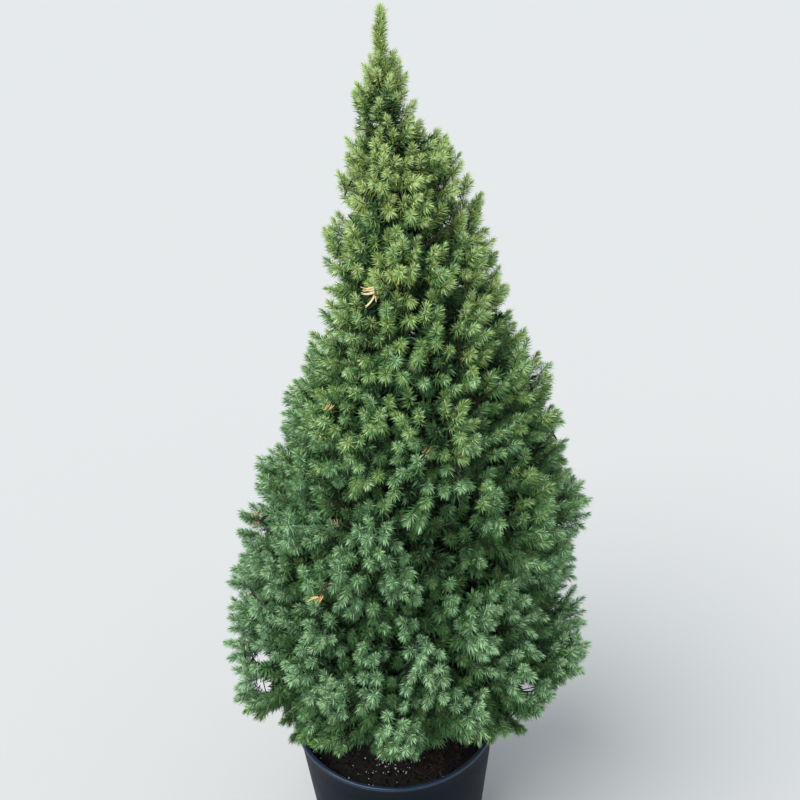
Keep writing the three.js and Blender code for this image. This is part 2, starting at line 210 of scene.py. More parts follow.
def leaned(points):
    points = np.asarray(points, float)
    axis = trunkAt(points[..., 2])
    out = np.hypot(points[..., 0] - axis[..., 0], points[..., 1] - axis[..., 1])
    sheared = points.copy()
    sheared[..., 2] = points[..., 2] - crown["boughRise"] * out
    return sheared


def placeMasses():
    found = []
    for name, tierHeight, count, turn, plumes, lowPlumes, carried in tiers:
        for i in range(count):
            draw = randomStream(len(found) + 1)
            swing = (draw() - 0.5) * crown["azimuthSwing"] if count > 1 else 0
            azimuth = math.radians(turn + 360 * i / count) + swing
            height = tierHeight + ((draw() - 0.5) * crown["heightSwing"] if count > 1 else 0)
            home = crownPoint(azimuth, height, crown["homeShare"] if count > 1 else 0)
            found.append({
                "tier": name, "name": f"{name}_{i + 1}" if count > 1 else name, "count": count,
                "azimuth": azimuth, "height": height, "home": home, "plumes": plumes,
                "lowPlumes": lowPlumes, "carried": carried, "leaned": leaned(home),
                "stagger": crown["boughStagger"] * (0.618 * i % 1),
            })
    return found


# How deep points lie inside a mass's own space, measured to the nearest border.
def roomInside(mass, points):
    spots = leaned(points)
    rooms = []
    for other in masses:
        if other is not mass:
            apart = other["leaned"] - mass["leaned"]
            middle = (other["leaned"] + mass["leaned"]) / 2
            rooms.append((middle - spots) @ apart / np.linalg.norm(apart))
    return np.min(rooms, axis=0) / math.hypot(1, crown["boughRise"])


def bezier(start, bend, end, shares):
    shares = np.asarray(shares, float)[:, None]
    return (1 - shares) ** 2 * start + 2 * shares * (1 - shares) * bend + shares ** 2 * end


def boughOf(mass):
    reach = crownAt(mass["height"])[1]
    entryShare, rise = crown["entryShare"], crown["boughRise"]
    entry = crownPoint(mass["azimuth"], mass["height"], entryShare)
    entry[2] -= 0.55 * rise * (crown["homeShare"] - entryShare) * reach
    startHeight = entry[2] - 0.8 * rise * entryShare * reach - mass["stagger"]
    startHeight = max(startHeight, soilLevel + crown["boughClearance"])
    start = trunkAt(startHeight)
    bend = lerp(start, entry, 0.55)
    bend[2] = lerp(start[2], entry[2], 0.3)
    radius = crown["boughGirth"] * float(trunkRadius(max(startHeight, soilLevel + 80)))
    line = bezier(start, bend, entry, np.linspace(0, 1, crown["boughSteps"]))
    return {"line": line, "root": radius, "tip": crown["boughTaper"] * radius}


def stemOf(mass):
    home, steps = mass["home"], crown["stemSteps"]
    if mass["carried"]:
        line = mass["bough"]["line"]
        ahead = unit(line[-1] - line[-2])
        bend = line[-1] + ahead * 0.4 * np.linalg.norm(home - line[-1])
        return bezier(line[-1], bend, home, np.linspace(0, 1, steps)), mass["bough"]["tip"]
    if mass["count"] == 1:
        low, high = trunkAt(trunk["tipHeight"]), trunkAt(trunk["tipHeight"])
        low[2], high[2] = trunk["tipHeight"] - 6, crown["top"] - 20
        return np.linspace(low, high, steps), trunk["tipRadius"]
    axis = trunkAt(mass["height"])
    drop = 0.9 * crown["boughRise"] * np.linalg.norm(home - axis) + 0.4 * mass["stagger"]
    start = trunkAt(mass["height"] - drop)
    return np.linspace(start, home, steps), max(0.5 * float(trunkRadius(start[2])), 2)


# An even scatter of numbers from 0 to 1, the same in each run
def halton(index, base):
    index = np.array(index)
    share, value = 1.0, np.zeros(index.shape)
    while index.any():
        share /= base
        value = value + share * (index % base)
        index = index // base
    return value


# The tips of a mass's plumes: the middle of its share of the crown, then the candidate farthest from
# those before it, again and again.
def plumeTips(mass):
    reach = crownAt(mass["height"])[1]
    alone = mass["count"] == 1
    lift = 0 if alone else crown["boughRise"] * (1 - crown["homeShare"]) * reach
    span = 2 * math.pi / mass["count"]
    candidates = []
    for i in range(1, crown["candidates"] + 1):
        azimuth = mass["azimuth"] + 1.2 * span * (halton(i, 2) - 0.5)
        height = mass["height"] + lift + (0.35 if alone else 1) * crown["tipBand"] * (halton(i, 3) - 0.5)
        if rowHeights[0] + 8 <= height <= crown["top"] - 30:
            candidates.append(crownPoint(azimuth, height, 1 - 0.07 * halton(i, 5)))
    candidates = np.array(candidates)
    candidates = candidates[roomInside(mass, candidates) > crown["cellRoom"]]
    middle = crownPoint(mass["azimuth"], mass["height"] + lift, 1)
    if alone:
        middle = trunkAt(crown["top"])
        middle[2] = crown["top"]
    tips = [middle]
    while len(tips) < mass["plumes"]:
        apart = np.min([np.linalg.norm(candidates - tip, axis=1) for tip in tips], axis=0)
        tips.append(candidates[np.argmax(apart)])
    for i in range(mass["lowPlumes"]):  # hang below the mass, over the pot
        azimuth = mass["azimuth"] + span * ((i + 0.5) / mass["lowPlumes"] - 0.5)
        tips.append(crownPoint(azimuth, crown["lowPlumeHeight"] + 26 * (i % 2), 0.9))
    return tips


def hubFor(mass, tip):
    home = mass["home"]
    if mass["count"] == 1:
        out = math.hypot(tip[0] - home[0], tip[1] - home[1])
        drop = 0.9 * out + 20 if tip[2] < crown["top"] else 64
        return np.array([home[0], home[1], max(tip[2] - drop, trunk["tipHeight"] + 4)])
    climb = unit(tip - trunkAt(tip[2]))
    climb[2] = crown["shootRise"]
    climb = unit(climb)
    across = tip - home
    across -= climb * (across @ climb)
    spread = crown["hubSpread"] * min(crownAt(mass["height"])[1], crown["widestReach"])
    size = np.linalg.norm(across)
    return home + across * min(1, spread / max(size, 1e-6))


masses = placeMasses()
for mass in masses:
    mass["bough"] = boughOf(mass) if mass["carried"] else None
    mass["stem"], mass["stemRadius"] = stemOf(mass)
limbPoints = np.concatenate([m["bough"]["line"] for m in masses if m["bough"]])
limbRadii = np.concatenate([
    np.linspace(m["bough"]["root"], m["bough"]["tip"], crown["boughSteps"]) for m in masses if m["bough"]
])
print("rule set out:", len(masses), "foliage masses")


# meshes and materials

def startShape():
    if bpy.context.object and bpy.context.object.mode != "OBJECT":
        bpy.ops.object.mode_set(mode="OBJECT")
    bpy.ops.object.select_all(action="DESELECT")


# An object's place written into its mesh
def applyPlace(made):
    made.data.transform(made.matrix_world)
    made.matrix_world = Matrix.Identity(4)


def editAll(action="DESELECT"):
    bpy.ops.object.mode_set(mode="EDIT")
    bpy.ops.mesh.select_all(action=action)


def chooseParts(kind, test):
    bpy.ops.mesh.select_mode(type={"vertices": "VERT", "edges": "EDGE", "polygons": "FACE"}[kind])
    bpy.ops.mesh.select_all(action="DESELECT")
    bpy.ops.object.mode_set(mode="OBJECT")
    mesh = bpy.context.object.data
    for part in getattr(mesh, kind):
        part.select = bool(test(part))
    bpy.ops.object.mode_set(mode="EDIT")


# The corners and triangles of the active object, which is then removed.
def takeShape():
    if bpy.context.object.mode != "OBJECT":
        bpy.ops.object.mode_set(mode="OBJECT")
    made = bpy.context.object
    mesh = made.data
    mesh.calc_loop_triangles()
    corners = np.zeros(len(mesh.vertices) * 3, np.float32)
    mesh.vertices.foreach_get("co", corners)
    faces = np.zeros(len(mesh.loop_triangles) * 3, np.int32)
    mesh.loop_triangles.foreach_get("vertices", faces)
    bpy.data.objects.remove(made)
    bpy.data.meshes.remove(mesh)
    return corners.reshape(-1, 3).astype(float), faces.reshape(-1, 3)


def joinedPiece(name, corners, faces, finishes, tones=None, smooth=False):
    mesh = bpy.data.meshes.new(name)
    mesh.vertices.add(len(corners))
    mesh.vertices.foreach_set("co", (corners * metre).astype(np.float32).ravel())
    mesh.loops.add(faces.size)
    mesh.loops.foreach_set("vertex_index", faces.astype(np.int32).ravel())
    mesh.polygons.add(len(faces))
    mesh.polygons.foreach_set("loop_start", np.arange(0, faces.size, 3, dtype=np.int32))
    for finish in finishes:
        mesh.materials.append(finish)
    if tones is not None:
        mesh.polygons.foreach_set("material_index", tones.astype(np.int32))
    mesh.polygons.foreach_set("use_smooth", np.full(len(faces), smooth))
    mesh.update(calc_edges=True)
    made = bpy.data.objects.new(name, mesh)
    bpy.context.scene.collection.objects.link(made)
    return made


# Copies of one shape: corners (copies, n, 3) and the shape's own faces.
def stacked(corners, faces):
    copies, size = corners.shape[:2]
    steps = (np.arange(copies) * size)[:, None, None]
    return corners.reshape(-1, 3), (faces[None] + steps).reshape(-1, 3)


def plainFinish(name, colour, roughness, specular=0.35):
    finish = bpy.data.materials.new(name)
    finish.use_nodes = True
    shader = finish.node_tree.nodes["Principled BSDF"]
    shader.inputs["Base Color"].default_value = (*colour, 1)
    shader.inputs["Roughness"].default_value = roughness
    shader.inputs["Specular IOR Level"].default_value = specular
    return finish


# Noise in a material, read at a place on the piece
def noiseNode(finish, place, scale, detail, roughness=0.5):
    noise = finish.node_tree.nodes.new("ShaderNodeTexNoise")
    for name, value in {"Scale": scale, "Detail": detail, "Roughness": roughness}.items():
        noise.inputs[name].default_value = value
    finish.node_tree.links.new(place, noise.inputs["Vector"])
    return noise.outputs["Fac"]


# A value carried from one range to another
def rangeNode(finish, value, source, target):
    node = finish.node_tree.nodes.new("ShaderNodeMapRange")
    for name, limit in zip(("From Min", "From Max", "To Min", "To Max"), (*source, *target)):
        node.inputs[name].default_value = limit
    finish.node_tree.links.new(value, node.inputs["Value"])
    return node.outputs["Result"]


# A finish whose colour, roughness and bump follow noise in the object's own space.
def mottledFinish(name, stops, scale, roughness, bumpScale, bump, stretch=(1, 1, 1)):
    finish = plainFinish(name, stops[0][1], roughness[0])
    nodes, links = finish.node_tree.nodes, finish.node_tree.links
    shader = nodes["Principled BSDF"]
    where = nodes.new("ShaderNodeTexCoord")
    place = nodes.new("ShaderNodeMapping")
    place.inputs["Scale"].default_value = stretch
    links.new(where.outputs["Object"], place.inputs["Vector"])
    blotch = noiseNode(finish, place.outputs["Vector"], scale, 6, 0.62)
    ramp = nodes.new("ShaderNodeValToRGB")
    while len(ramp.color_ramp.elements) < len(stops):
        ramp.color_ramp.elements.new(0.5)
    for element, (position, colour) in zip(ramp.color_ramp.elements, stops):
        element.position = position
        element.color = (*colour, 1)
    links.new(blotch, ramp.inputs["Fac"])
    links.new(ramp.outputs["Color"], shader.inputs["Base Color"])
    links.new(rangeNode(finish, blotch, (0, 1), roughness), shader.inputs["Roughness"])
    relief = nodes.new("ShaderNodeBump")
    relief.inputs["Strength"].default_value = bump
    relief.inputs["Distance"].default_value = 0.001
    links.new(noiseNode(finish, place.outputs["Vector"], bumpScale, 4), relief.inputs["Height"])
    links.new(relief.outputs["Normal"], shader.inputs["Normal"])
    return finish


# A colour blotched with a brighter one of its own hue
def blotched(colour, factor):
    return [(0.36, colour), (0.72, tuple(factor * c for c in colour))]


def seat(piece, slot, *nodes):
    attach(piece, "root")
    if nodes:
        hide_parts(*nodes)
    return piece


# camera, light and floor

view = {
    "place": (0.0229, -1.0193, 1.3235),
    "tilt": 61.3,
    "roll": -2.11,
    "lens": 42.75,
    "sky": (0.86, 0.93, 1.0),
    "skyStrength": 0.86,
    "sunStrength": 3.3,
    "sunSpread": 50,
    "sunTurn": (36, -8, -44),
    "floor": (0.50, 0.50, 0.49),
}
scene = bpy.context.scene
scene.view_settings.view_transform = "Standard"
cameraData = bpy.data.cameras.new("camera")
cameraData.lens = view["lens"]
cameraData.sensor_width = 36
cameraData.clip_end = 200
camera = bpy.data.objects.new("camera", cameraData)
scene.collection.objects.link(camera)
tilt = Matrix.Rotation(math.radians(view["tilt"]), 3, "X")
camera.rotation_euler = (tilt @ Matrix.Rotation(math.radians(view["roll"]), 3, "Z")).to_euler()
camera.location = view["place"]
scene.camera = camera

world = bpy.data.worlds.new("softRoom")
world.use_nodes = True
world.node_tree.nodes["Background"].inputs["Color"].default_value = (*view["sky"], 1)
world.node_tree.nodes["Background"].inputs["Strength"].default_value = view["skyStrength"]
scene.world = world
sunData = bpy.data.lights.new("softKey", "SUN")
sunData.energy = view["sunStrength"]
sunData.angle = math.radians(view["sunSpread"])
sun = bpy.data.objects.new("softKey", sunData)
sun.rotation_euler = [math.radians(a) for a in view["sunTurn"]]
scene.collection.objects.link(sun)

startShape()
bpy.ops.mesh.primitive_plane_add(size=60, location=(0, 0, -0.0005))
floor = bpy.context.object
floor.name = "floor"
applyPlace(floor)
floor.data.materials.append(plainFinish("paleFloor", view["floor"], 0.9, 0.1))
floor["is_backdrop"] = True
print("camera, light and floor set")


# pot

def wallRadius(height):
    return pot["rimRadius"] - pot["lipOverhang"] - pot["wallTaper"] * (pot["height"] - height)


# A turned solid: a disc drawn up and in along a profile of radius and height, ring by ring.
def turned(name, profile, sides):
    startShape()
    radius, height = profile[0]
    bpy.ops.mesh.primitive_circle_add(
        vertices=sides, radius=radius * metre, fill_type="NGON", location=(0, 0, height * metre)
    )
    made = bpy.context.object
    made.name = made.data.name = name
    applyPlace(made)
    editAll("SELECT")
    for nextRadius, nextHeight in profile[1:]:
        bpy.ops.mesh.extrude_region_move(
            TRANSFORM_OT_translate={"value": (0, 0, (nextHeight - height) * metre)}
        )
        share = nextRadius / radius
        bpy.ops.transform.resize(value=(share, share, 1), center_override=(0, 0, nextHeight * metre))
        radius, height = nextRadius, nextHeight
    bpy.ops.mesh.select_all(action="SELECT")
    bpy.ops.mesh.normals_make_consistent(inside=False)
    bpy.ops.object.mode_set(mode="OBJECT")
    return made


def makePot():
    lipFoot = pot["height"] - pot["lipHeight"]
    rim, top = pot["rimRadius"], pot["height"]

    def inner(height):
        return wallRadius(height) - pot["wallThickness"]

    # radius and height: up the wall, over the lip and down the inside to the floor
    profile = [(wallRadius(0) - 3, 0), (wallRadius(0) - 0.9, 0.8), (wallRadius(3), 3)]
    profile += [(wallRadius(h), h) for h in (24, 70, 120, 170, 215, lipFoot - 2)]
    profile += [
        (wallRadius(lipFoot) + 0.5, lipFoot), (rim - 1.4, lipFoot + 0.9), (rim - 0.5, lipFoot + 2.0),
        (rim, top - 4), (rim - 0.1, top - 2.2), (rim - 0.7, top - 0.8), (rim - 1.8, top - 0.1),
        (rim - 3.0, top), (inner(top) + 1.6, top - 0.2), (inner(top) + 0.5, top - 0.9),
        (inner(top), top - 2.4), (inner(lipFoot), lipFoot), (inner(180), 180), (inner(90), 90),
        (inner(10), 10), (inner(5) - 3, pot["floorThickness"]), (40, pot["floorThickness"]),
    ]
    made = turned("pot_shell", profile, pot["sides"])
    slotSize = [side * metre for side in (*pot["slotSize"], 2 * pot["floorThickness"] + 4)]
    for i in range(pot["drainSlots"]):
        angle = 2 * math.pi * (i + 0.5) / pot["drainSlots"]
        out = (wallRadius(0) - pot["slotInset"]) * metre
        bpy.ops.mesh.primitive_cube_add(
            size=1, location=(out * math.cos(angle), out * math.sin(angle), 0),
            rotation=(0, 0, angle), scale=slotSize,
        )
        cutter = bpy.context.object
        cut = made.modifiers.new("drainSlot", "BOOLEAN")
        cut.operation, cut.solver, cut.object = "DIFFERENCE", "EXACT", cutter
        startShape()
        bpy.context.view_layer.objects.active = made
        made.select_set(True)
        bpy.ops.object.modifier_apply(modifier=cut.name)
        bpy.data.objects.remove(cutter)
    bpy.ops.object.shade_smooth_by_angle(angle=math.radians(pot["smoothAngle"]))
    made.data.materials.append(potFinish())
    # the lip is worn smooth and glossier than the wall; its lighter, bluer colour is a painted highlight,
    # the sky's reflection along the rim
    made.data.materials.append(
        mottledFinish("potLip", blotched(pot["lip"], 1.6), 40, pot["lipRoughness"], 900, 0.05)
    )
    for face in made.data.polygons:
        if face.center.z > (top - pot["lipEdge"]) * metre:
            face.material_index = 1
    return seat(made, "pot_plastic", "pot")


# Near-black plastic with a fine grain, its blue tint a painted reflection of the sky, and dust that
# gathers low on the wall
def potFinish():
    finish = mottledFinish(
        "potPlastic", blotched(pot["plastic"], 1.5), 14, pot["roughness"], 900, 0.10, (1, 1, 1.6)
    )
    nodes, links = finish.node_tree.nodes, finish.node_tree.links
    shader, ramp = nodes["Principled BSDF"], nodes["Color Ramp"]
    shader.inputs["Specular IOR Level"].default_value = 0.05
    shader.inputs["Specular Tint"].default_value = (*pot["sheen"], 1)
    where = nodes["Texture Coordinate"].outputs["Object"]
    split = nodes.new("ShaderNodeSeparateXYZ")
    links.new(where, split.inputs["Vector"])
    low = rangeNode(finish, split.outputs["Z"], (pot["dustHeight"] * metre, 0), (0, 0.75))
    speck = rangeNode(finish, noiseNode(finish, where, 55, 8, 0.7), (0.45, 0.75), (0.10, 1))
    share = nodes.new("ShaderNodeMath")
    share.operation = "MULTIPLY_ADD"
    share.inputs[2].default_value = 0.05
    links.new(low, share.inputs[0])
    links.new(speck, share.inputs[1])
    dusty = nodes.new("ShaderNodeMix")
    dusty.data_type = "RGBA"
    clean, dust = [socket for socket in dusty.inputs if socket.type == "RGBA"]
    dust.default_value = (*pot["dust"], 1)
    links.new(share.outputs["Value"], dusty.inputs["Factor"])
    links.new(ramp.outputs["Color"], clean)
    mixed = [socket for socket in dusty.outputs if socket.type == "RGBA"][0]
    links.new(mixed, shader.inputs["Base Color"])
    return finish


makePot()
print("pot made")

# soil

soil = {
    "sides": 96,
    "rings": 30,
    "crumbs": 1500,
    "chips": 150,
    "fibres": 110,
    "perlite": 150,
    "edgeDrop": 7,
    "wallGap": 0.7,
    "keptIn": 139,  # no crumb or fibre lies farther out
    "fibreLength": (9, 30),
    "fibreRadius": (0.22, 0.5),
    "fibreBow": 0.5,
    "fibreLift": 0.9,
    "fibreArch": 1.6,
    "fibreHeap": (96, 20, -58, 0.34),  # where half of them gather: radius, azimuth and how loosely
    "peat": (0.0030, 0.0027, 0.0025),
    "peatPale": (0.013, 0.010, 0.008),
    "crumb": (0.0065, 0.0053, 0.0043),
    "chip": (0.034, 0.019, 0.012),
    "fibre": (0.052, 0.027, 0.018),
    "perliteWhite": (0.62, 0.61, 0.58),
}


def soilSide(height):
    return wallRadius(height) - pot["wallThickness"] - soil["wallGap"]


# The height of the soil, level round the trunk, then in low lumps down to its edge
def soilTop(x, y):
    out, angle = np.hypot(x, y), np.arctan2(y, x)
    drop = soil["edgeDrop"]
    side = soilSide(soilLevel - drop)
    height = np.interp(out, [0, 36, 82, side - 16, side], [0, 0, -1.5, -3, -drop]) + soilLevel
    lump = 1.6 * np.sin(5 * angle + 0.06 * out) + 1.1 * np.sin(11 * angle - 0.1 * out)
    return height + lump * ramped(out, 30, 20) * ramped(out, side, -3)


def keptIn(x, y):
    share = np.minimum(1, soil["keptIn"] / np.hypot(x, y))
    return x * share, y * share


def makeSoil():
    random = np.random.default_rng(11)
    low, edge = pot["floorThickness"] + 0.3, soilLevel - soil["edgeDrop"]
    side, lowSide = soilSide(edge), soilSide(low)
    rings = [(side * (1 - (k + 1) / (soil["rings"] + 0.7)), edge) for k in range(soil["rings"])]
    made = turned("soil_plug", [(lowSide, low), (side, edge), *rings], soil["sides"])
    mesh = made.data
    corners = np.zeros(len(mesh.vertices) * 3, np.float32)
    mesh.vertices.foreach_get("co", corners)
    corners = corners.reshape(-1, 3) / metre
    top = corners[:, 2] > edge - 1
    grit = random.normal(0, 0.55, top.sum())
    inside = np.hypot(corners[top, 0], corners[top, 1]) < side - 1
    corners[top, 2] = soilTop(corners[top, 0], corners[top, 1]) + grit * inside
    mesh.vertices.foreach_set("co", (corners * metre).astype(np.float32).ravel())
    mesh.update()
    mesh.materials.append(mottledFinish(
        "peat", [(0.35, soil["peat"]), (0.55, soil["peatPale"]), (0.75, soil["peat"])],
        160, (0.85, 1.0), 700, 0.9,
    ))
    bpy.ops.object.shade_smooth_by_angle(angle=math.radians(60))
    return seat(made, "potting_soil", "soil")


# A small lump in the rough, flattened and with its corners pulled about
def lumpShape(seed, flatness):
    random = np.random.default_rng(seed)
    startShape()
    bpy.ops.mesh.primitive_ico_sphere_add(subdivisions=1, radius=0.5)
    corners, faces = takeShape()
    corners *= 1 + random.uniform(-0.28, 0.22, (len(corners), 1))
    return corners * np.array([1, 1, flatness]), faces


def turns(random, count, tip=math.pi):
    ranges = ((0, 2 * math.pi), (-tip, tip), (-tip, tip))
    a, b, c = (random.uniform(low, high, count) for low, high in ranges)
    zero, one = np.zeros(count), np.ones(count)
    aboutZ = np.stack([np.cos(a), -np.sin(a), zero, np.sin(a), np.cos(a), zero, zero, zero, one], -1)
    aboutX = np.stack([one, zero, zero, zero, np.cos(b), -np.sin(b), zero, np.sin(b), np.cos(b)], -1)
    aboutY = np.stack([np.cos(c), zero, np.sin(c), zero, one, zero, -np.sin(c), zero, np.cos(c)], -1)
    return aboutZ.reshape(-1, 3, 3) @ aboutX.reshape(-1, 3, 3) @ aboutY.reshape(-1, 3, 3)


# Lumps scattered over the soil, each sunk by a share of its size
def scatter(name, count, shape, sizes, sink, seed, finish, stretch=(1, 1, 1), spots=None, tip=math.pi):
    random = np.random.default_rng(seed)
    corners, faces = shape
    out = 141 * np.sqrt(random.uniform(0.012, 1, count))
    angle = random.uniform(0, 2 * math.pi, count)
    x, y = out * np.cos(angle), out * np.sin(angle)
    if spots is not None:
        near = random.integers(0, len(spots), count)
        close = random.random(count) < 0.6
        x = np.where(close, spots[near, 0] + random.normal(0, 14, count), x)
        y = np.where(close, spots[near, 1] + random.normal(0, 12, count), y)
        x, y = keptIn(x, y)
    size = random.uniform(*sizes, count) * random.uniform(0.7, 1.25, count)
    own = (corners * np.array(stretch))[None] * size[:, None, None]
    own = np.einsum("kij,knj->kni", turns(random, count, tip), own)
    own += np.stack([x, y, soilTop(x, y) + size * (0.5 - sink) * 0.6], -1)[:, None]
    made = joinedPiece(name, *stacked(own, faces), [finish])
    return seat(made, "potting_soil")


# Thin root and bark fibres lying on the soil, each a bent three-sided strand
def makeFibres():
    random = np.random.default_rng(23)
    lines, radii = [], []
    shares = np.linspace(-0.5, 0.5, 6)
    heapOut, heapWide, heapTurn, heapLong = soil["fibreHeap"]
    heapTurn = math.radians(heapTurn)
    for i in range(soil["fibres"]):
        out, angle = 136 * math.sqrt(random.uniform(0.03, 1)), random.uniform(0, 2 * math.pi)
        if i % 2:
            out, angle = heapOut + random.normal(0, heapWide), heapTurn + random.normal(0, heapLong)
        out = min(out, 134)
        heading = random.uniform(0, 2 * math.pi)
        length = random.uniform(*soil["fibreLength"])
        bow = random.normal(0, soil["fibreBow"])
        along, across = length * shares, bow * length * shares ** 2
        x = out * math.cos(angle) + along * math.cos(heading) - across * math.sin(heading)
        y = out * math.sin(angle) + along * math.sin(heading) + across * math.cos(heading)
        x, y = keptIn(x, y)
        arch = soil["fibreArch"] * random.random() * (0.25 - shares ** 2)
        lines.append(np.stack([x, y, soilTop(x, y) + soil["fibreLift"] + arch], -1))
        radii.append(np.full(6, random.uniform(*soil["fibreRadius"])))
    made = joinedPiece("soil_fibres", *tubes(np.array(lines), np.array(radii), 3), [fibreFinish])
    return seat(made, "potting_soil")


# Tubes along lines (k, points, 3) with radii (k, points), closed at both ends when capped
def tubes(lines, radii, sides, capped=True):
    count, points = lines.shape[:2]
    ahead = unit(np.gradient(lines, axis=1))
    reference = np.where(np.abs(ahead[..., 2:]) > 0.94, np.array([1.0, 0, 0]), up)
    side = unit(np.cross(ahead, reference))
    over = np.cross(side, ahead)
    angle = 2 * math.pi * np.arange(sides) / sides
    ring = (
        side[:, :, None] * np.cos(angle)[None, None, :, None]
        + over[:, :, None] * np.sin(angle)[None, None, :, None]
    )
    rings = lines[:, :, None] + ring * radii[:, :, None, None]
    ends = np.stack([lines[:, 0], lines[:, -1] + ahead[:, -1] * radii[:, -1, None]], 1)
    corners = rings.reshape(count, points * sides, 3)
    if capped:
        corners = np.concatenate([corners, ends], 1)
    faces = []
    for i in range(points - 1):
        for j in range(sides):
            a, b = i * sides + j, i * sides + (j + 1) % sides
            faces += [(a, a + sides, b), (b, a + sides, b + sides)]
    first, last = points * sides, points * sides + 1
    for j in range(sides * capped):
        faces.append((first, j, (j + 1) % sides))
        faces.append((last, (points - 1) * sides + (j + 1) % sides, (points - 1) * sides + j))
    return stacked(corners, np.array(faces))


makeSoil()
crumbFinish = plainFinish("peatCrumb", soil["crumb"], 0.95, 0.15)
chipFinish = plainFinish("barkChip", soil["chip"], 0.85, 0.3)
perliteFinish = plainFinish("perlite", soil["perliteWhite"], 0.9, 0.2)
fibreFinish = plainFinish("rootFibre", soil["fibre"], 0.8, 0.3)
# where the white grains and the chips gather, in front of the trunk and towards the wall
perliteSpots = np.array([(-12, -92), (-34, -104), (6, -74), (-60, 70), (84, 40)], float)
chipSpots = np.array([(58, -92), (78, -66), (-70, -40), (20, 96)], float)
scatter("soil_crumbs", soil["crumbs"], lumpShape(3, 0.8), (1.6, 4.6), 0.35, 5, crumbFinish)
scatter("soil_chips", soil["chips"], lumpShape(4, 0.35), (4, 10), 0.3, 6, chipFinish,
        (1.0, 0.5, 0.7), chipSpots, 0.5)
scatter("soil_perlite", soil["perlite"], lumpShape(8, 0.85), (0.9, 3.0), 0.25, 7, perliteFinish,
        (1, 1, 1), perliteSpots)
makeFibres()
print("soil made")


# trunk and boughs, with the bark's relief

barkRelief = {
    "ridges": 7,
    "around": (2, 9),
    "along": (0.03, 0.16),  # waves for each mm of the limb
    "skew": 1.7,
    "sharpness": 0.7,
    "grain": 0.25,
    "sunk": 0.6,
}


# A limb along a line of centres: a cylinder ringed in edit mode, then drawn along the line.
def limbShape(line, radii, sides, rings, relief, seed, lobes=0.0):
    random = np.random.default_rng(seed)
    startShape()
    bpy.ops.mesh.primitive_cylinder_add(vertices=sides, radius=1, depth=1, end_fill_type="TRIFAN")
    editAll()
    chooseParts("edges", lambda edge: abs(
        bpy.context.object.data.vertices[edge.vertices[0]].co.z
        - bpy.context.object.data.vertices[edge.vertices[1]].co.z) > 0.5)
    bpy.ops.mesh.subdivide(number_cuts=rings - 1)
    corners, faces = takeShape()
    share = corners[:, 2] + 0.5
    angle = np.arctan2(corners[:, 1], corners[:, 0])
    rim = np.hypot(corners[:, 0], corners[:, 1])
    steps = np.linspace(0, 1, len(line))
    centres = np.stack([np.interp(share, steps, line[:, k]) for k in range(3)], -1)
    tangents = unit(np.gradient(line, axis=0))
    ahead = unit(np.stack([np.interp(share, steps, tangents[:, k]) for k in range(3)], -1))
    upright = np.abs(tangents[:, 2]).min() > 0.9
    side = unit(np.cross(ahead, np.array([0.0, 1, 0]) if upright else up))
    over = np.cross(side, ahead)
    length = np.linalg.norm(np.diff(line, axis=0), axis=1).sum()
    bark = np.zeros(len(corners))
    for k in range(barkRelief["ridges"]):  # plates: ridges that wander round and along the limb
        around = random.integers(*barkRelief["around"])
        along = random.uniform(*barkRelief["along"]) * length
        bark += np.sin(around * angle + along * share + random.uniform(0, 6.3)) / 4
        against = around * angle - barkRelief["skew"] * along * share
        bark += 0.6 * np.sin(against + random.uniform(0, 6.3)) / 4
    bark = np.abs(bark) ** barkRelief["sharpness"] * np.sign(bark)
    bark = bark + random.normal(0, barkRelief["grain"], len(corners))
    inner = (share > 0.004) & (share < 0.996)
    radius = np.interp(share, steps, radii)
    flare = np.exp(-share * length / trunk["flareHeight"]) * lobes
    relief = relief * (bark - barkRelief["sunk"]) * inner
    radius = radius * (1 + relief + flare * np.cos(trunk["rootLobes"] * angle))
    outward = side * np.cos(angle)[:, None] + over * np.sin(angle)[:, None]
    return centres + outward * (rim * radius)[:, None], faces


# Faces turned outwards, once the copies of a shape are drawn along their lines
def facedOut(made):
    startShape()
    bpy.context.view_layer.objects.active = made
    made.select_set(True)
    editAll("SELECT")
    bpy.ops.mesh.normals_make_consistent(inside=False)
    bpy.ops.object.mode_set(mode="OBJECT")
    return made


def makeWood():
    barkFinish = mottledFinish(
        "bark", [(0.30, trunk["barkDark"]), (0.50, trunk["bark"]), (0.72, trunk["barkPale"])],
        95, (0.78, 0.95), 420, 0.8, (1, 1, 0.35),
    )
    heights = np.linspace(trunk["heights"][0], trunk["tipHeight"], 120)
    line = trunkAt(heights)
    corners, faces = limbShape(
        line, trunkRadius(heights), trunk["sides"], trunk["rings"], trunk["plateDepth"], 31,
        trunk["lobeDepth"],
    )
    corners[:, 2] = np.maximum(corners[:, 2], trunk["heights"][0])
    made = facedOut(joinedPiece("trunk_bark", corners, faces, [barkFinish], smooth=True))
    seat(made, "bark", "trunk")
    parts = []
    for number, mass in enumerate(m for m in masses if m["bough"]):
        bough = mass["bough"]
        radii = np.linspace(bough["root"], bough["tip"], len(bough["line"]))
        parts.append(limbShape(bough["line"], radii, 12, 26, 0.09, 40 + number))
    corners, faces = joined(parts)
    made = facedOut(joinedPiece("bough_bark", corners, faces, [barkFinish], smooth=True))
    seat(made, "bark", *["bough_" + m["name"] for m in masses if m["bough"]])


def joined(parts):
    shift, allCorners, allFaces = 0, [], []
    for corners, faces in parts:
        allCorners.append(corners)
        allFaces.append(faces + shift)
        shift += len(corners)
    return np.concatenate(allCorners), np.concatenate(allFaces)


makeWood()
print("trunk and boughs made")

# foliage

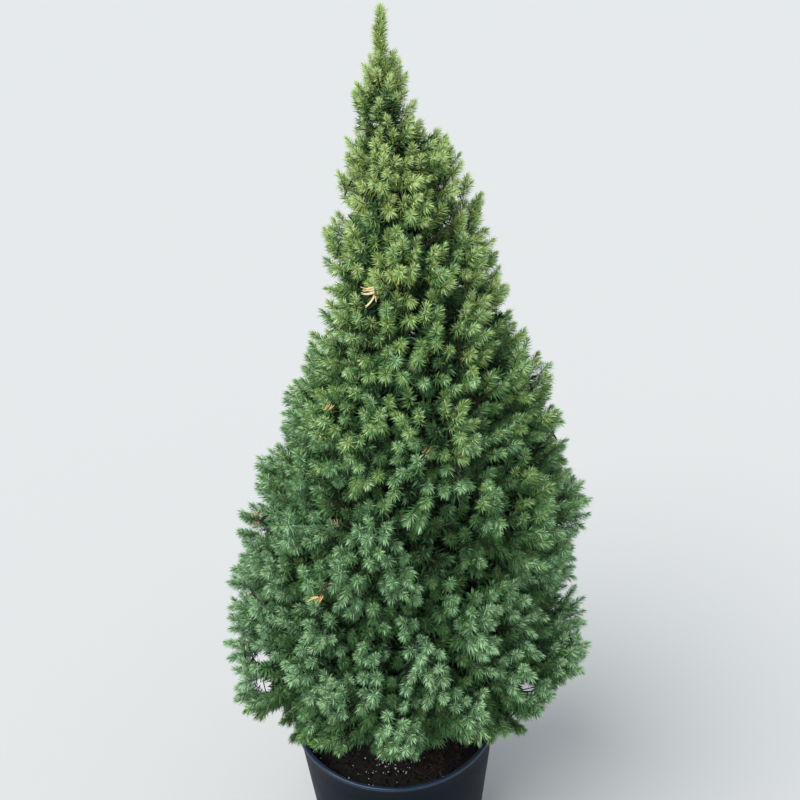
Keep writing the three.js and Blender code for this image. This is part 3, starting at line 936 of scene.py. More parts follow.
foliage = {
    "shootLength": (24, 34),
    "variants": 7,
    "domeDepth": 10,  # how far a plume's surface falls back 30 mm from its tip
    "domeLimit": 22,
    "creaseDepth": 29,  # how much deeper it lies where two plumes meet
    "creaseWidth": 12,
    "depthJitter": (-4, 8),
    "innerDrop": 0.35,  # how much lower a tip lies for each mm of its layer's depth
    "plumeAbove": 1.2,  # a plume hangs below its tip: heights count for more above it than below
    "plumeBelow": 0.38,
    "climb": (1.05, 2.5),  # rise of the shoots for each unit outward, low in the crown and at its top
    "climbOver": (650, 480),
    "climbPull": (0.5, 1.0),  # what that rise counts beside the way from the stem, low and high up
    "pullOver": (600, 300),
    "alongTwig": 0.7,
    "wander": 0.21,
    "skirtTop": 385,  # below it the shoots turn level, and down at the foot
    "skirtClimb": (290, 80, -0.25),
    # what shrinks where the crown is slim: at no reach, the reach that adds one, and the least
    "slimDepth": (0, 120, 0.22),
    "slimLength": (0.35, 170, 0.72),
    "slimSpacing": (0.3, 150, 0.72),
    "slimSize": (0.55, 220, 0.84),
    "bunched": (0.87, 0.34),  # spacing on a plume, and how much wider it grows in a crease
    "sizes": (0.84, 1.12),
    "twigStart": 16,  # a side twig leaves its plume's stem at least this far behind the tip
    "twigBack": 0.9,  # and farther by this for each mm between its shoot and the tip
    "longestTwig": 95,
    "shortestShoot": 9,
    "leaderBelow": 30,  # shoots from this far below the trunk's tip stand on the leader
    "laneRoom": 9,
    "trunkRoom": (-1, 2),  # room kept from the trunk, at a shoot's foot and farther out
    "boughRoom": (-1, 1.5),
    "rimRoom": (262, 168),  # nothing lower than this within this radius of the pot's axis
    "soilRoom": 20,
}
needle = {
    "first": 0.02,  # share of the shoot below its first needle
    "crowding": 0.74,  # under 1, the needles stand closer to the shoot's end
    "lean": (72, 38),  # degrees from the shoot, at its foot and its end
    "endLean": 26,  # less by this for the last ones
    "endFrom": (0.86, 0.14),
    "strayRound": 0.2,
    "strayLean": 7,
    "roll": 0.5,
    "lengths": (0.82, 1.1),
    "endLength": 0.84,
    "gap": 0.6,  # from the shoot's axis
    "droop": 0.014,  # how far its end hangs, by its length squared
}
needleTones = {
    # plain colours, dealt out by shoot, each with its roughness
    # this tone and the next: painted shade inside the crown, round its hollows and at its foot
    "needleShade": ((0.024, 0.054, 0.021), 0.70),
    "needleDeep": ((0.072, 0.160, 0.060), 0.62),
    "needleGreen": ((0.152, 0.318, 0.104), 0.56),
    "needleFresh": ((0.290, 0.445, 0.120), 0.54),
    # a lighter yellow: partly the young growth's own colour, partly painted sunlight on the top
    "needleSun": ((0.500, 0.580, 0.150), 0.52),
    "needleBlue": ((0.160, 0.314, 0.150), 0.56),
    # the next two: pale tips, partly the needles' own bloom, partly painted highlight
    "needleFrost": ((0.430, 0.650, 0.370), 0.54),
    "needlePale": ((0.570, 0.720, 0.320), 0.54),
}
toneIndex = {name: i for i, name in enumerate(needleTones)}
# How the tones are dealt. Warmth runs from blue at 0 to yellow at 1.
toning = {
    "warmth": 0.12,
    "highUp": 0.92,  # warmth gained at the top of the crown, where the warmest tones are lighter too: partly the young growth's own yellow, partly painted light
    "lowDown": 0.44,  # and at its foot
    "toTheRight": 0.05,
    "byPlume": 0.10,
    "byShoot": 0.24,
    "byNeedle": 0.4,
    "foot": (430, -100),  # height below which the crown darkens in painted shade, and over what height
    # painted shade: shoots deeper than this take a darker tone
    "shadeFromDepth": 34,
    "shadeShares": (0, 0.22, 0.7, 0.7),  # painted shade: of the inner shoots, by layer, the share in the darkest tone
    "shadeReach": 34,  # painted shade round a hollow
    # the share of a young shoot's needles that are pale, by height: partly their own bloom, partly painted
    # highlight
    "paleHeights": (330, 400, 500, 590, 820, 900),
    "paleShares": (0.58, 0.66, 0.62, 0.44, 0.44, 0.56),
    "paleFade": 0.010,  # fewer for each mm of depth: painted shade
    "fresh": 0.60,
    "sun": 0.86,
    "blue": 0.36,
    "yellowPale": 0.62,
    "swapped": 0.3,  # share of the darker needles that are a tone lighter
}

# Places where the crown stands open, as seen from the front: two ends of a clear lane and its radius.
openings = (
    ((-167, -100, 450), (-209, 100, 260), 4),
    ((-168, -100, 401), (-210, 100, 200), 4),
    ((175, -100, 378), (208, 100, 172), 4),
    ((-16, -60, 1121), (-20, 60, 1096), 3),
)
# Hollows between the plumes, left open and dark inside, the inner shoots round them painted in shade: X,
# Y, Z and radius
hollows = (
    (80, -162, 666, 37), (66, -170, 646, 33), (94, -172, 637, 21), (45, -166, 668, 22),
    (63, -136, 784, 24), (64, -128, 808, 22), (28, -153, 722, 21), (-14, -135, 756, 19),
    (93, -105, 859, 21), (26, -116, 837, 19), (40, -147, 745, 19), (137, -120, 766, 17),
    (81, -153, 712, 18), (-64, -126, 718, 17), (-52, -150, 670, 17), (-16, -81, 898, 16),
    (34, -89, 933, 16), (-32, -126, 768, 16), (141, -166, 620, 19), (51, -183, 579, 18),
    (14, -183, 562, 16), (-86, -161, 546, 16), (-84, -174, 503, 20), (-59, -178, 523, 16),
    (7, -197, 487, 18), (90, -194, 463, 18), (36, -201, 470, 16), (163, -150, 511, 17),
    (-42, -202, 443, 21), (-70, -198, 428, 16),
)
# Sprays that reach past the rest: X, Y and Z of the tip, of the way it points, and the shoots in it
sprays = (
    (-142, -86, 282, -0.6, -0.4, -0.4, 5), (-158, -60, 288, -0.8, -0.3, -0.3, 5),
    (134, -84, 290, 0.6, -0.4, -0.3, 5), (150, -62, 296, 0.8, -0.3, -0.2, 5),
    (-219, -60, 437, -1, -0.1, 0.2, 3), (-217, -60, 411, -1, -0.1, -0.1, 3),
    (-214, -60, 338, -0.9, -0.1, -0.2, 3), (-206, -60, 314, -0.7, -0.2, -0.5, 4),
    (-193, -60, 302, -0.6, -0.2, -0.6, 3), (-176, -60, 648, -0.8, 0, 0.6, 3),
    (-200, -60, 540, -0.9, 0, 0.3, 3), (-180, -60, 620, -0.8, -0.1, 0.5, 3),
    (-101, 0, 793, -0.6, 0, 0.8, 2), (-53, 0, 983, -0.6, 0, 0.8, 3), (-34, 0, 1046, -0.3, 0, 1, 2),
    (-9, 0, 1137, -0.5, 0, 0.9, 3), (40, 0, 1145, 0.5, 0, 0.9, 3), (34, 0, 1160, 0.2, 0, 1, 2),
    (119, 0, 1017, 0.6, 0, 0.9, 4), (98, -24, 1004, 0.5, -0.3, 0.9, 4), (90, 10, 1012, 0.5, 0, 0.9, 3),
    (105, 0, 1038, 0.3, 0, 1, 3), (136, 0, 948, 0.6, 0, 0.8, 3), (147, 0, 908, 0.6, 0, 0.7, 2),
    (220, 0, 736, 0.7, 0, 0.7, 3), (228, 0, 696, 0.8, 0, 0.6, 3), (246, -60, 645, 0.9, 0, 0.5, 3),
    (234, 0, 652, 0.8, 0, 0.6, 3), (228, -30, 668, 0.8, -0.2, 0.6, 3), (253, -60, 449, 0.9, 0, 0.1, 3),
    (170, -100, 297, 0.6, -0.3, -0.5, 4), (-131, -100, 296, -0.6, -0.3, -0.5, 3),
)
# How a spray is laid out round its tip
sprayShape = {
    "shootLength": 25,
    "sizes": (0.95, 0.85),
    "smallAbove": 700,
    "fan": 0.55,
    "ring": 11,
    "setBack": 9,
    "twigStart": 26,
}
# The front edge over the soil: how far the lowest needles stay above its foot, by X
frontEdge = {
    "places": (-110, -91, -75, -58, -45, -35, -15, 6, 12, 17, 34, 54, 71, 97, 110, 129),
    "raised": (24, 24, 12, 20, 32, 12, 0, 15, 18, 12, 0, 18, 28, 24, 14, 12),
    "foot": 297,
    "rise": 0.8,
    "from": -120,  # the edge rises towards the viewer from this Y
    "behind": -60,
    "halfWidth": 125,
}


# A needle is a narrow kite folded along its midrib, the fold outermost.
def needleShape():
    startShape()
    bpy.ops.mesh.primitive_circle_add(
        vertices=4, radius=0.5, fill_type="NGON", location=(0, 0, 0.5), rotation=(math.pi / 2, 0, 0)
    )
    made = bpy.context.object
    applyPlace(made)
    editAll()
    chooseParts("vertices", lambda corner: abs(corner.co.x) < 0.1)
    bpy.ops.mesh.vert_connect()
    chooseParts("vertices", lambda corner: abs(corner.co.x) > 0.1)
    bpy.ops.transform.translate(value=(0, -0.25, -0.08))
    return takeShape()


# A shoot's needles about an upright axis: where each leaves it, and its corners from there.
def shootNeedles(layer, seed, shape):
    random = np.random.default_rng(seed)
    corners, count, width = shape[0], layer["needles"], layer["needleWidth"]
    share = lerp(needle["first"], 1, ((np.arange(count) + 0.5) / count) ** needle["crowding"])
    around = goldenAngle * np.arange(count) + random.normal(0, needle["strayRound"], count)
    lean = np.radians(lerp(*needle["lean"], share) - needle["endLean"] * ramped(share, *needle["endFrom"]))
    lean = lean + np.radians(random.normal(0, needle["strayLean"], count))
    size = layer["needleLength"] * random.uniform(*needle["lengths"], count)
    size = size * lerp(1, needle["endLength"], share ** 3)
    ahead = np.stack([np.sin(lean) * np.cos(around), np.sin(lean) * np.sin(around), np.cos(lean)], -1)
    side = unit(np.cross(up, ahead))
    over = np.cross(ahead, side)
    roll = random.normal(0, needle["roll"], count)[:, None]
    side, over = side * np.cos(roll) + over * np.sin(roll), over * np.cos(roll) - side * np.sin(roll)
    offsets = (
        side[:, None] * corners[None, :, :1] * width
        + over[:, None] * corners[None, :, 1:2] * width
        + ahead[:, None] * corners[None, :, 2:] * size[:, None, None]
    )
    return share, offsets + ahead[:, None] * needle["gap"]


def laneDistance(points, start, end):
    start, end = np.array(start, float), np.array(end, float)
    along = end - start
    share = np.clip((points - start) @ along / (along @ along), -3, 3)
    return np.linalg.norm(points - (start + share[..., None] * along), axis=-1)


# The stem of a plume: a curve from its mass's stem, by way of the hub, to the tip
def plumeLine(mass, tip, random):
    hub = hubFor(mass, tip)
    if mass["count"] == 1:
        root = np.array([hub[0], hub[1], max(hub[2] - 6, trunk["tipHeight"] - 4)])
        return bezier(root, hub, tip, np.linspace(0, 1, 15))
    root = mass["stem"][int(random.integers(5, 12))]
    return bezier(root, lerp(hub, root, 0.15), tip, np.linspace(0, 1, 15))


plumeLines, plumeMasses = [], []
for number, mass in enumerate(masses):
    for tip in plumeTips(mass):
        random = np.random.default_rng(500 + len(plumeLines))
        plumeLines.append(plumeLine(mass, tip, random))
        plumeMasses.append(number)
plumeLines, plumeMasses, plumeCount = np.array(plumeLines), np.array(plumeMasses), len(plumeLines)
plumeTops = plumeLines[:, -1]
plumeSteps = np.linalg.norm(np.diff(plumeLines, axis=1), axis=2)
plumeSteps = np.concatenate([np.zeros((plumeCount, 1)), np.cumsum(plumeSteps, axis=1)], 1)
plumeDeep = crownAt(plumeTops[:, 2])[1] * (1 - crownShare(plumeTops))


# Points on the plumes' stems, at a distance back from each plume's tip
def stemPoint(plumes, fromTip):
    at = np.clip(plumeSteps[plumes, -1] - fromTip, 0, plumeSteps[plumes, -1])
    k = np.clip((plumeSteps[plumes] < at[:, None]).sum(1) - 1, 0, 13)
    share = (at - plumeSteps[plumes, k]) / (plumeSteps[plumes, k + 1] - plumeSteps[plumes, k])
    low, high = plumeLines[plumes, k], plumeLines[plumes, k + 1]
    return low + (high - low) * share[:, None], unit(high - low)


# An even scatter over the crown's surface, by its area
def crownScatter(count):
    index = np.arange(1, count + 1)
    heights = np.arange(rowHeights[0] + 4, crown["top"] - 12, 1.0)
    reach = crownAt(heights)[1]
    area = np.cumsum(reach * np.hypot(np.gradient(reach), 1))
    return np.interp(halton(index, 2), area / area[-1], heights), 2 * math.pi * halton(index, 3)


def spotsFree(starts, ends, hollowSize):
    free = np.ones(len(starts), bool)
    for share in (0.1, 0.55, 1.0):
        points = starts + (ends - starts) * share
        x, y, height = points.T
        outer = share > 0.5
        # over the rim, the soil and the front edge
        rimHeight, rimRadius = foliage["rimRoom"]
        free &= ~((height < rimHeight) & (np.hypot(x, y) < rimRadius))
        free &= height > soilLevel + foliage["soilRoom"]
        edge = frontEdge["foot"] + np.interp(x, frontEdge["places"], frontEdge["raised"])
        edge = edge + frontEdge["rise"] * (frontEdge["from"] - y)
        free &= (height > edge) | (y > frontEdge["behind"]) | (np.abs(x) > frontEdge["halfWidth"])
        for low, high, radius in openings:
            free &= laneDistance(points, low, high) > radius + foliage["laneRoom"]
        for *place, radius in hollows if hollowSize else ():
            free &= np.linalg.norm(points - np.array(place), axis=1) > radius * hollowSize
        # clear of the trunk and the boughs
        axis = trunkAt(height)
        out = np.hypot(x - axis[:, 0], y - axis[:, 1])
        free &= (height > trunk["tipHeight"]) | (out > trunkRadius(height) + foliage["trunkRoom"][outer])
        for first in range(0, len(points), 2000):
            some = slice(first, first + 2000)
            apart = np.linalg.norm(points[some, None] - limbPoints[None], axis=-1) - limbRadii
            free[some] &= apart.min(1) > foliage["boughRoom"][outer]
    return free


shootKeys = ("start", "heading", "length", "size", "plume", "layer", "deep")
shoots = {key: [] for key in shootKeys}
twigLines, twigRadii = [], []


def addShoot(*values):
    for key, value in zip(shootKeys, values):
        shoots[key].append(value)


# A side twig from a plume's stem to the foot of a shoot, leaving along the stem
def addTwig(anchor, ahead, end, girth):
    reached = np.linalg.norm(end - anchor)
    if reached > 5:
        twigLines.append(bezier(anchor, anchor + ahead * 0.35 * reached, end, np.array([0, 0.5, 1])))
        twigRadii.append(np.array([1.25, 1.05, 0.85]) * girth)


# The trunk's axis, carried on as the leader above the trunk's own tip
def leaderAt(height):
    place = trunkAt(height)
    place[..., 2] = height
    return place


def slimmed(reach, start, run, least):
    return np.clip(start + reach / run, least, 1)


# One layer of shoots: tips scattered over the crown, each on a side twig of the nearest plume
def growLayer(number, layer):
    random = np.random.default_rng(700 + number)
    height, azimuth = crownScatter(layer["tries"])
    centre, reach = crownAt(height)
    surface = np.stack([
        centre + reach * np.cos(azimuth), crown["depthShare"] * reach * np.sin(azimuth), height
    ], -1)
    apart = surface[:, None] - plumeTops[None]
    apart[..., 2] *= np.where(apart[..., 2] > 0, foliage["plumeAbove"], foliage["plumeBelow"])
    away = np.linalg.norm(apart, axis=-1)
    nearest = np.argsort(away, axis=1)[:, :2]
    first, second = np.take_along_axis(away, nearest, 1).T
    plumes = nearest[:, 0]

    # how deep the tips lie: domed on a plume, sunk in the creases, shallower where the crown is slim
    slim = slimmed(reach, *foliage["slimDepth"])
    crease = np.exp(-((second - first) / foliage["creaseWidth"]) ** 2)
    deep = np.minimum(foliage["domeDepth"] * (first / 30) ** 2, foliage["domeLimit"])
    deep = deep + foliage["creaseDepth"] * crease + 0.8 * plumeDeep[plumes]
    jitter = random.uniform(*foliage["depthJitter"], len(deep))
    deep = (layer["deep"] + deep + jitter) * slim + (1 - slim) * 2
    share = np.clip(1 - deep / np.maximum(0.92 * reach, 1), 0.05, 1)
    tips = surface.copy()
    tips[:, 0] = centre + (surface[:, 0] - centre) * share
    tips[:, 1] = surface[:, 1] * share
    tips[:, 2] -= foliage["innerDrop"] * layer["deep"]

    # the way they point: out along their twig, and up
    anchor, ahead = stemPoint(plumes, foliage["twigStart"] + foliage["twigBack"] * first + deep)
    onLeader = height > trunk["tipHeight"] - foliage["leaderBelow"]
    anchor = np.where(onLeader[:, None], leaderAt(height - 24), anchor)
    radial = unit((tips - trunkAt(tips[:, 2])) * np.array([1, 1, 0]))
    climb = lerp(*foliage["climb"], ramped(height, *foliage["climbOver"]) ** 1.3)
    foot, run, least = foliage["skirtClimb"]
    climb = np.where(height < foliage["skirtTop"], least + (height - foot) / run, climb)
    wanted = unit(radial + up * climb[:, None])
    span = tips - anchor
    far = np.linalg.norm(span, axis=1)
    pull = lerp(*foliage["climbPull"], ramped(height, *foliage["pullOver"]))[:, None]
    stray = foliage["wander"] * random.normal(0, 1, tips.shape)
    headings = unit(foliage["alongTwig"] * unit(span) + pull * wanted + stray)
    lengths = lerp(*foliage["shootLength"], random.random(len(tips)))
    lengths = lengths * slimmed(reach, *foliage["slimLength"]) * layer["size"]
    lengths = np.minimum(lengths, 0.96 * far)
    starts = tips - headings * lengths[:, None]

    keep = (reach > layer["leastReach"]) & spotsFree(starts, tips, layer["hollowSize"])
    keep &= (far < foliage["longestTwig"]) & (lengths > foliage["shortestShoot"])
    spacing = layer["spacing"] * slimmed(reach, *foliage["slimSpacing"])
    if not layer["sparse"]:
        spacing = spacing * (foliage["bunched"][0] + foliage["bunched"][1] * crease)
    sizes = layer["size"] * slimmed(reach, *foliage["slimSize"])
    sizes = sizes * random.uniform(*foliage["sizes"], len(tips))
    girth = 1.0 if layer["sparse"] else 0.9
    taken = np.zeros((0, 3))
    for i in np.flatnonzero(keep):
        if len(taken) and np.min(np.sum((taken - tips[i]) ** 2, axis=1)) < spacing[i] ** 2:
            continue
        taken = np.concatenate([taken, tips[i:i + 1]])
        addShoot(starts[i], headings[i], lengths[i], sizes[i], plumes[i], number, deep[i])
        addTwig(anchor[i], ahead[i], starts[i] + headings[i] * 2, girth)


layers = (
    {
        "deep": 4, "spacing": 16.2, "tries": 22000, "leastReach": 0, "hollowSize": 1, "sparse": False,
        "size": 1.0, "needles": 108, "needleLength": 11.7, "needleWidth": 1.22,
    },
    {
        "deep": 22, "spacing": 16.5, "tries": 12000, "leastReach": 30, "hollowSize": 0.74, "sparse": True,
        "size": 1.05, "needles": 36, "needleLength": 14.0, "needleWidth": 2.8,
    },
    {
        "deep": 45, "spacing": 21, "tries": 7000, "leastReach": 42, "hollowSize": 0, "sparse": True,
        "size": 1.15, "needles": 34, "needleLength": 16.0, "needleWidth": 3.5,
    },
    {
        "deep": 80, "spacing": 29, "tries": 4000, "leastReach": 84, "hollowSize": 0, "sparse": True,
        "size": 1.3, "needles": 32, "needleLength": 18.0, "needleWidth": 4.5,
    },
)
leader = {
    "step": 9,  # shoots all the way up its own stem
    "shootLength": 22,
    "sizes": (1.15, 0.8),
    "beside": (  # short shoots that stand up round it: height, azimuth, reach
        (1168, 250, 9), (1160, 20, 12), (1152, 140, 13), (1146, 300, 16), (1139, 60, 17),
    ),
}


def growLeader():
    random = np.random.default_rng(12)
    foot, top, longest = trunk["tipHeight"], crown["top"], leader["shootLength"]
    for low in np.arange(foot - 22, top - 16, leader["step"]):
        length = min(longest, top - 4 - low)
        heading = unit(up + 0.16 * random.normal(0, 1, 3) * (length > 15))
        size = lerp(*leader["sizes"], (low - foot) / (top - foot)) * random.uniform(0.72, 1.16)
        addShoot(leaderAt(low), heading, length, size, 0, 0, 5)
    for height, azimuth, reach in leader["beside"]:
        azimuth = math.radians(azimuth)
        outward = np.array([math.cos(azimuth), math.sin(azimuth), 0])
        heading = unit(up + 0.35 * outward)
        tip = leaderAt(height) + outward * reach
        addShoot(tip - heading * longest, heading, longest, 0.95, 0, 0, 5)
        addTwig(leaderAt(height - 30), up, tip - heading * 20, 0.9)


# The sprays that reach past the rest, each from the stem of the nearest plume
def growSprays():
    fan, ring, setBack = sprayShape["fan"], sprayShape["ring"], sprayShape["setBack"]
    for *tip, wayX, wayY, wayZ, count in sprays:
        tip, way = np.array(tip, float), unit(np.array([wayX, wayY, wayZ], float))
        plume = int(np.argmin(np.linalg.norm(plumeTops - tip, axis=1)))
        anchor, ahead = stemPoint(np.array([plume]), np.array([sprayShape["twigStart"]]))
        size = sprayShape["sizes"][int(tip[2] >= sprayShape["smallAbove"])]
        length = sprayShape["shootLength"] * size
        for turn in range(count):
            around = 2 * math.pi * turn / count + 0.01 * tip[2]
            spread = np.array([math.cos(around), math.sin(around), 0.4 * math.sin(2 * around)])
            heading = unit(way + fan * spread * (turn > 0))
            end = tip + spread * ring * size * (turn > 0) - heading * setBack * (turn > 0)
            addShoot(end - heading * length, heading, length, size, plume, 0, 5)
            addTwig(anchor[0], ahead[0], end - heading * (length - 2 * size), 0.9)


for number, layer in enumerate(layers):
    growLayer(number, layer)
    print("  layer", number, "shoots so far:", len(shoots["start"]))
growLeader()
growSprays()
print("plumes grown:", plumeCount, "shoots:", len(shoots["start"]))

starts, headings = np.array(shoots["start"]), unit(np.array(shoots["heading"]))
lengths, sizes, deeps = (np.array(shoots[k], float) for k in ("length", "size", "deep"))
shootPlumes, shootLayers = np.array(shoots["plume"]), np.array(shoots["layer"])
shootRandom = np.random.default_rng(42)
draws = shootRandom.random(len(starts))
variants = shootRandom.integers(0, foliage["variants"], len(starts))
spins = shootRandom.uniform(0, 2 * math.pi, len(starts))
bends = 0.09 * lengths * shootRandom.uniform(0.2, 1.4, len(starts))
sparse = shootLayers > 0
shootMasses = plumeMasses[shootPlumes]
tips = starts + headings * lengths[:, None]

frameSide = unit(np.cross(headings, np.where(np.abs(headings[:, 2:]) > 0.95, [[1.0, 0, 0]], up)))
frameOver = np.cross(frameSide, headings)
spinCos, spinSin = np.cos(spins)[:, None], np.sin(spins)[:, None]
frameX = frameSide * spinCos + frameOver * spinSin
frameY = frameOver * spinCos - frameSide * spinSin
bendUp = (up - headings * headings[:, 2:]) * bends[:, None]


# The tone of each shoot: warmer to the top and the foot, bluer between them, and darker inside, round the
# hollows and at the foot, where shade is painted
def dealTones():
    random = np.random.default_rng(77)
    byPlume = random.random(plumeCount)[shootPlumes] - 0.5
    high = ramped(tips[:, 2], 300, 900)
    right = np.clip(tips[:, 0] / 220, -1, 1)
    low = ramped(tips[:, 2], *toning["foot"])
    warm = toning["warmth"] + toning["highUp"] * high ** 1.4 + toning["lowDown"] * low
    warm = warm + toning["toTheRight"] * right
    warm = warm + toning["byPlume"] * byPlume + toning["byShoot"] * (draws - 0.5)
    tone = np.full(len(starts), toneIndex["needleGreen"])
    # painted shade: deeper shoots and those at the foot take a darker tone, inner shoots and those round a
    # hollow the darkest
    deep = deeps + 14 * (draws - 0.5) + 9 * low
    tone[sparse | (deep > toning["shadeFromDepth"])] = toneIndex["needleDeep"]
    tone[draws < np.array(toning["shadeShares"])[shootLayers]] = toneIndex["needleShade"]
    for *place, radius in hollows:
        inside = np.linalg.norm(tips - np.array(place), axis=1) < radius + toning["shadeReach"]
        tone[sparse & inside] = toneIndex["needleShade"]
    return tone, warm, low


shootTone, shootWarm, shootLow = dealTones()


# The masses whose needles are joined into one piece: a tier, or half of one where it is large
needleGroups = []
for tier in [row[0] for row in tiers]:
    group = [i for i, mass in enumerate(masses) if mass["tier"] == tier]
    if len(group) > 5:
        needleGroups += [(tier + "_a", group[:3]), (tier + "_b", group[3:])]
    else:
        needleGroups.append((tier, group))


# The tone of each needle on the chosen shoots, from its shoot's own and its share of the way up: pale
# needles towards the end are partly their own bloom and partly painted highlight, darker ones low on the
# shoot and at the foot painted shade
def tonesOf(chosen, share, random):
    base = shootTone[chosen][:, None]
    warm, low = shootWarm[chosen][:, None], shootLow[chosen][:, None]
    # pale needles: fewer deeper in and at the foot, where shade is painted, and more where the tone is
    # warmest, painted light at the top
    light = np.interp(tips[chosen, 2], toning["paleHeights"], toning["paleShares"])
    light = np.clip(light - toning["paleFade"] * deeps[chosen] - 0.40 * shootLow[chosen], 0.06, 1)[:, None]
    light = light + 1.3 * np.maximum(warm - 0.72, 0)
    # painted shade: needles low on the shoot, and at the foot, take a darker tone
    dark = lerp(0.70, 0.95, share) - 0.34 * low
    pick = random.random((len(chosen), len(share)))
    blend = warm + toning["byNeedle"] * (random.random(pick.shape) - 0.5)
    pale = np.where(blend > toning["yellowPale"], toneIndex["needlePale"], toneIndex["needleFrost"])
    rules = (
        ("needleGreen", blend > toning["fresh"], toneIndex["needleFresh"]),
        ("needleGreen", blend > toning["sun"], toneIndex["needleSun"]),
        ("needleGreen", blend < toning["blue"], toneIndex["needleBlue"]),
        ("needleGreen", (share > 0.5) & (pick < light), pale),
        ("needleGreen", pick > dark, toneIndex["needleDeep"]),
        ("needleDeep", pick < toning["swapped"], toneIndex["needleGreen"]),
        ("needleShade", pick < toning["swapped"], toneIndex["needleDeep"]),
    )
    mixed = np.broadcast_to(base, pick.shape)
    for name, test, tone in rules:
        mixed = np.where((base == toneIndex[name]) & test, tone, mixed)
    return mixed


def makeNeedles():
    shape = needleShape()
    finishes = [plainFinish(name, *look, 0.2) for name, look in needleTones.items()]
    patterns = {
        (number, variant): shootNeedles(layer, 900 + variant + 50 * number, shape)
        for number, layer in enumerate(layers) for variant in range(foliage["variants"])
    }
    random = np.random.default_rng(5)
    total = 0
    for tier, group in needleGroups:
        grouped = np.isin(shootMasses, group)
        parts, tones = [], []
        for (number, variant), (share, offsets) in patterns.items():
            chosen = np.flatnonzero(grouped & (shootLayers == number) & (variants == variant))
            if not len(chosen):
                continue
            basis = np.stack([frameX[chosen], frameY[chosen], headings[chosen]], 1)
            own = np.einsum("ncj,sjk->snck", offsets, basis) * sizes[chosen, None, None, None]
            own[..., 2] -= needle["droop"] * (own ** 2).sum(-1)
            along = (
                headings[chosen, None] * (share[None, :, None] * lengths[chosen, None, None])
                + bendUp[chosen, None] * (share ** 2)[None, :, None]
                + starts[chosen, None]
            )
            corners = (own + along[:, :, None]).reshape(len(chosen) * len(share), -1, 3)
            parts.append(stacked(corners, shape[1]))
            tones.append(np.repeat(tonesOf(chosen, share, random).ravel(), len(shape[1])))
        corners, faces = joined(parts)
        made = joinedPiece("needles_" + tier, corners, faces, finishes, np.concatenate(tones))
        total += len(faces)
        seat(made, "needles", *["foliage_" + masses[m]["name"] for m in group])
        print("  needles", tier, len(faces))
    return total


def budShape():
    startShape()
    bpy.ops.mesh.primitive_cone_add(vertices=3, radius1=0.5, radius2=0, depth=1, location=(0, 0, 0.5))
    made = bpy.context.object
    applyPlace(made)
    editAll()
    chooseParts("vertices", lambda corner: corner.co.z < 0.1)
    bpy.ops.mesh.extrude_region_move(TRANSFORM_OT_translate={"value": (0, 0, 0)})
    bpy.ops.transform.translate(value=(0, 0, 0.32))
    chooseParts("vertices", lambda corner: corner.co.z < 0.1)
    bpy.ops.transform.resize(value=(0.45, 0.45, 1), center_override=(0, 0, 0))
    bpy.ops.mesh.select_all(action="SELECT")
    bpy.ops.mesh.remove_doubles(threshold=0.001)
    bpy.ops.mesh.normals_make_consistent(inside=False)
    return takeShape()


twigs = {
    "young": (0.270, 0.200, 0.075),
    # the older bark, darkened past its own colour as painted shade, so the twigs sink into the dark inside
    # of the crown
    "older": (0.036, 0.029, 0.016),
    "bud": (0.420, 0.180, 0.055),
    "budLength": 4.6,
    "budWidth": 2.7,
    "shootRadius": 0.7,
    "youngFrom": 0.6,  # share of an outer shoot below which its bark is old
    "stemRadii": (2.0, 0.95),
}


# Straight strands between two rows of points, with the radii at each
def strands(lows, highs, radii, chosen):
    return tubes(np.stack([lows, highs], 1)[chosen], radii[chosen], 3, False)


def makeTwigs():
    olderFinish = plainFinish("olderTwig", twigs["older"], 0.85, 0.3)
    youngFinish = plainFinish("youngTwig", twigs["young"], 0.7, 0.35)
    budFinish = plainFinish("bud", twigs["bud"], 0.55, 0.4)
    whole = plumeSteps[:, -1]
    stemLines = np.stack([
        stemPoint(np.arange(plumeCount), whole - (whole - 26) * share)[0] for share in np.linspace(0, 1, 7)
    ], 1)
    stemRadii = np.linspace(*twigs["stemRadii"], 7)[None] * np.clip(0.4 + whole / 160, 0.6, 1)[:, None]
    ends = starts + headings * lengths[:, None] + bendUp
    middles = lerp(starts, ends, twigs["youngFrom"])
    radii = twigs["shootRadius"] * sizes[:, None] * np.array([1, 0.7])
    massStems = np.array([m["stem"] for m in masses])
    massRadii = [np.linspace(m["stemRadius"], 0.6 * m["stemRadius"], crown["stemSteps"]) for m in masses]
    parts = [
        tubes(stemLines, stemRadii, 4),
        tubes(np.array(twigLines), np.array(twigRadii), 3, False),
        strands(starts, ends, radii, sparse),
        strands(starts, middles, radii, ~sparse),
        tubes(massStems, np.array(massRadii), 6),
    ]
    seat(facedOut(joinedPiece("twigs_older", *joined(parts), [olderFinish], smooth=True)), "bark")
    young = strands(middles, ends, radii, ~sparse)
    seat(facedOut(joinedPiece("twigs_young", *young, [youngFinish], smooth=True)), "bark")

    # a bud at the end of each outer shoot
    corners, faces = budShape()
    chosen = np.flatnonzero(~sparse)
    upward = unit(headings[chosen] + 0.4 * bendUp[chosen] / 20)
    basis = np.stack([frameX[chosen], frameY[chosen], upward], 1)
    own = corners * np.array([twigs["budWidth"], twigs["budWidth"], twigs["budLength"]])
    own = np.einsum("nj,sjk->snk", own, basis) * (sizes * lerp(0.7, 1.15, draws))[chosen, None, None]
    seat(joinedPiece("buds", *stacked(own + ends[chosen, None], faces), [budFinish]), "bark")


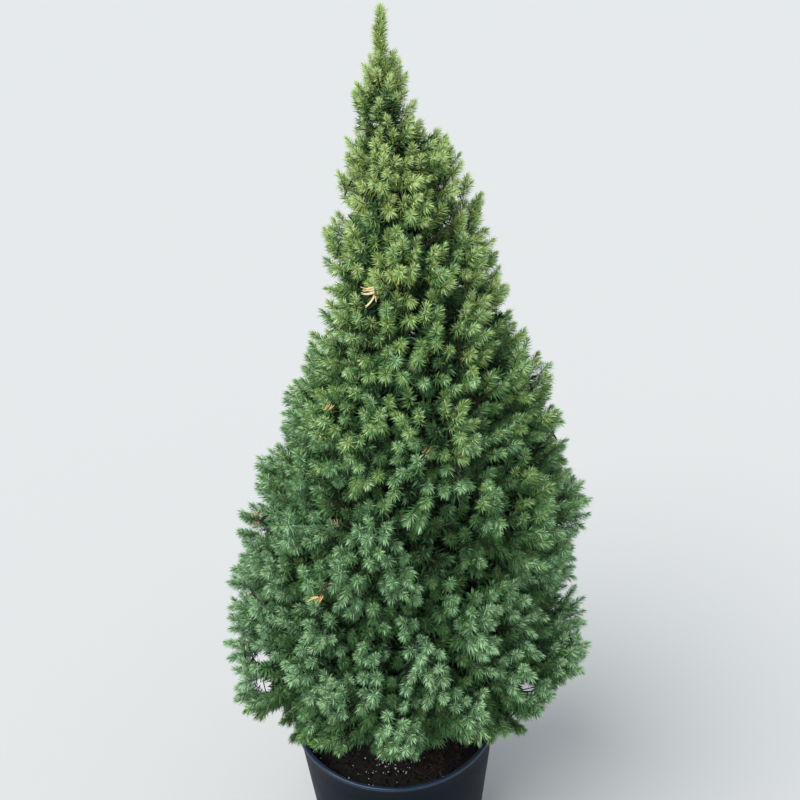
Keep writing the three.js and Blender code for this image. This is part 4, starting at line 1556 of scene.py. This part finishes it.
# Dead shoots: a few bare combs of dry needles, each on the shoot nearest to its place
dead = {
    # middle of the bare stem, its run, the way its needles hang, their length, number, girth and colour
    "sprays": (
        ((0, -84, 945), (0.5, -0.5, -8), (-1, -0.1, -0.02), 12.5, 5, 1.0, 0),
        ((0, -84, 938), (0, -0.5, -3), (-0.85, -0.1, -0.6), 15, 2, 1.0, 0),
        ((1, -84, 938), (2, -0.5, -1), (-0.1, -0.1, -1), 7, 1, 1.0, 0),
        ((-82, -170, 606), (7, -1, 0), (-0.75, -0.15, -0.45), 10, 3, 0.8, 1),
        ((-76, -170, 606), (7, -1, 1), (-0.35, -0.15, -0.9), 10, 3, 0.8, 1),
        ((-80, -170, 605), (2, -1, 1), (-1, -0.15, 0.1), 8, 2, 0.8, 1),
        ((-54, -97, 816), (-10, -1, 3), (-0.4, -0.2, -0.4), 8, 4, 0.62, 1),
        ((-154, -68, 656), (12, -1, 3), (-0.5, -0.2, -0.5), 8, 3, 0.6, 2),
        ((-158, -68, 641), (10, -1, 0), (-0.5, -0.2, -0.5), 7, 3, 0.6, 2),
        ((-56, -147, 696), (10, -1, 2), (0.25, -0.2, -1), 9, 3, 0.6, 2),
        ((47, -136, 773), (9, -1, -2), (0.5, -0.2, 0.8), 10, 2, 0.6, 2),
    ),
    "colours": {
        "strawNeedle": (0.80, 0.62, 0.33),
        "rustNeedle": (0.78, 0.50, 0.17),
        "brownNeedle": (0.46, 0.27, 0.11),
    },
    "girth": (0.62, 0.72, 0.66, 0.50, 0.34),
    "stray": 0.15,
    "lengths": (0.8, 1.15),
    "sags": (0.12, 0.28),
    "twig": (0.075, 0.045, 0.024),
    "twigRadius": 0.55,
}


def makeDead():
    random = np.random.default_rng(61)
    finishes = [plainFinish(name, colour, 0.7) for name, colour in dead["colours"].items()]
    outer = np.flatnonzero(deeps < 24)
    shares = np.linspace(0, 1, 5)
    needles, girths, colours, lines = [], [], [], []
    for place, run, hang, length, count, girth, colour in dead["sprays"]:
        place, half = np.array(place, float), np.array(run, float) / 2
        host = outer[np.argmin(np.linalg.norm(tips[outer] - place, axis=1))]
        lines.append(bezier(starts[host], place - half, place + half, shares))
        for j in range(count):
            foot = lerp(place - half, place + half, (j + 0.5) / count)
            ahead = unit(unit(np.array(hang, float)) + random.normal(0, dead["stray"], 3))
            ahead = ahead * length * random.uniform(*dead["lengths"])
            sag = up * length * random.uniform(*dead["sags"])
            needles.append(bezier(foot, foot + 0.55 * ahead - sag, foot + ahead, shares))
            girths.append(np.array(dead["girth"]) * girth)
            colours.append(colour)
    corners, faces = tubes(np.array(needles), np.array(girths), 4)
    tones = np.repeat(colours, len(faces) // len(needles))
    seat(facedOut(joinedPiece("dead_needles", corners, faces, finishes, tones)), "needles")
    twigFinish = plainFinish("deadTwig", dead["twig"], 0.8)
    stems = tubes(np.array(lines), np.full((len(lines), len(shares)), dead["twigRadius"]), 4)
    seat(facedOut(joinedPiece("dead_twigs", *stems, [twigFinish])), "bark")


needleFaces = makeNeedles()
makeTwigs()
makeDead()
print("foliage made:", needleFaces, "needle faces")

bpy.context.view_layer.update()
for piece in sorted(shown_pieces(), key=lambda o: -len(o.data.polygons)):
    print("  ", piece.name, len(piece.data.polygons))
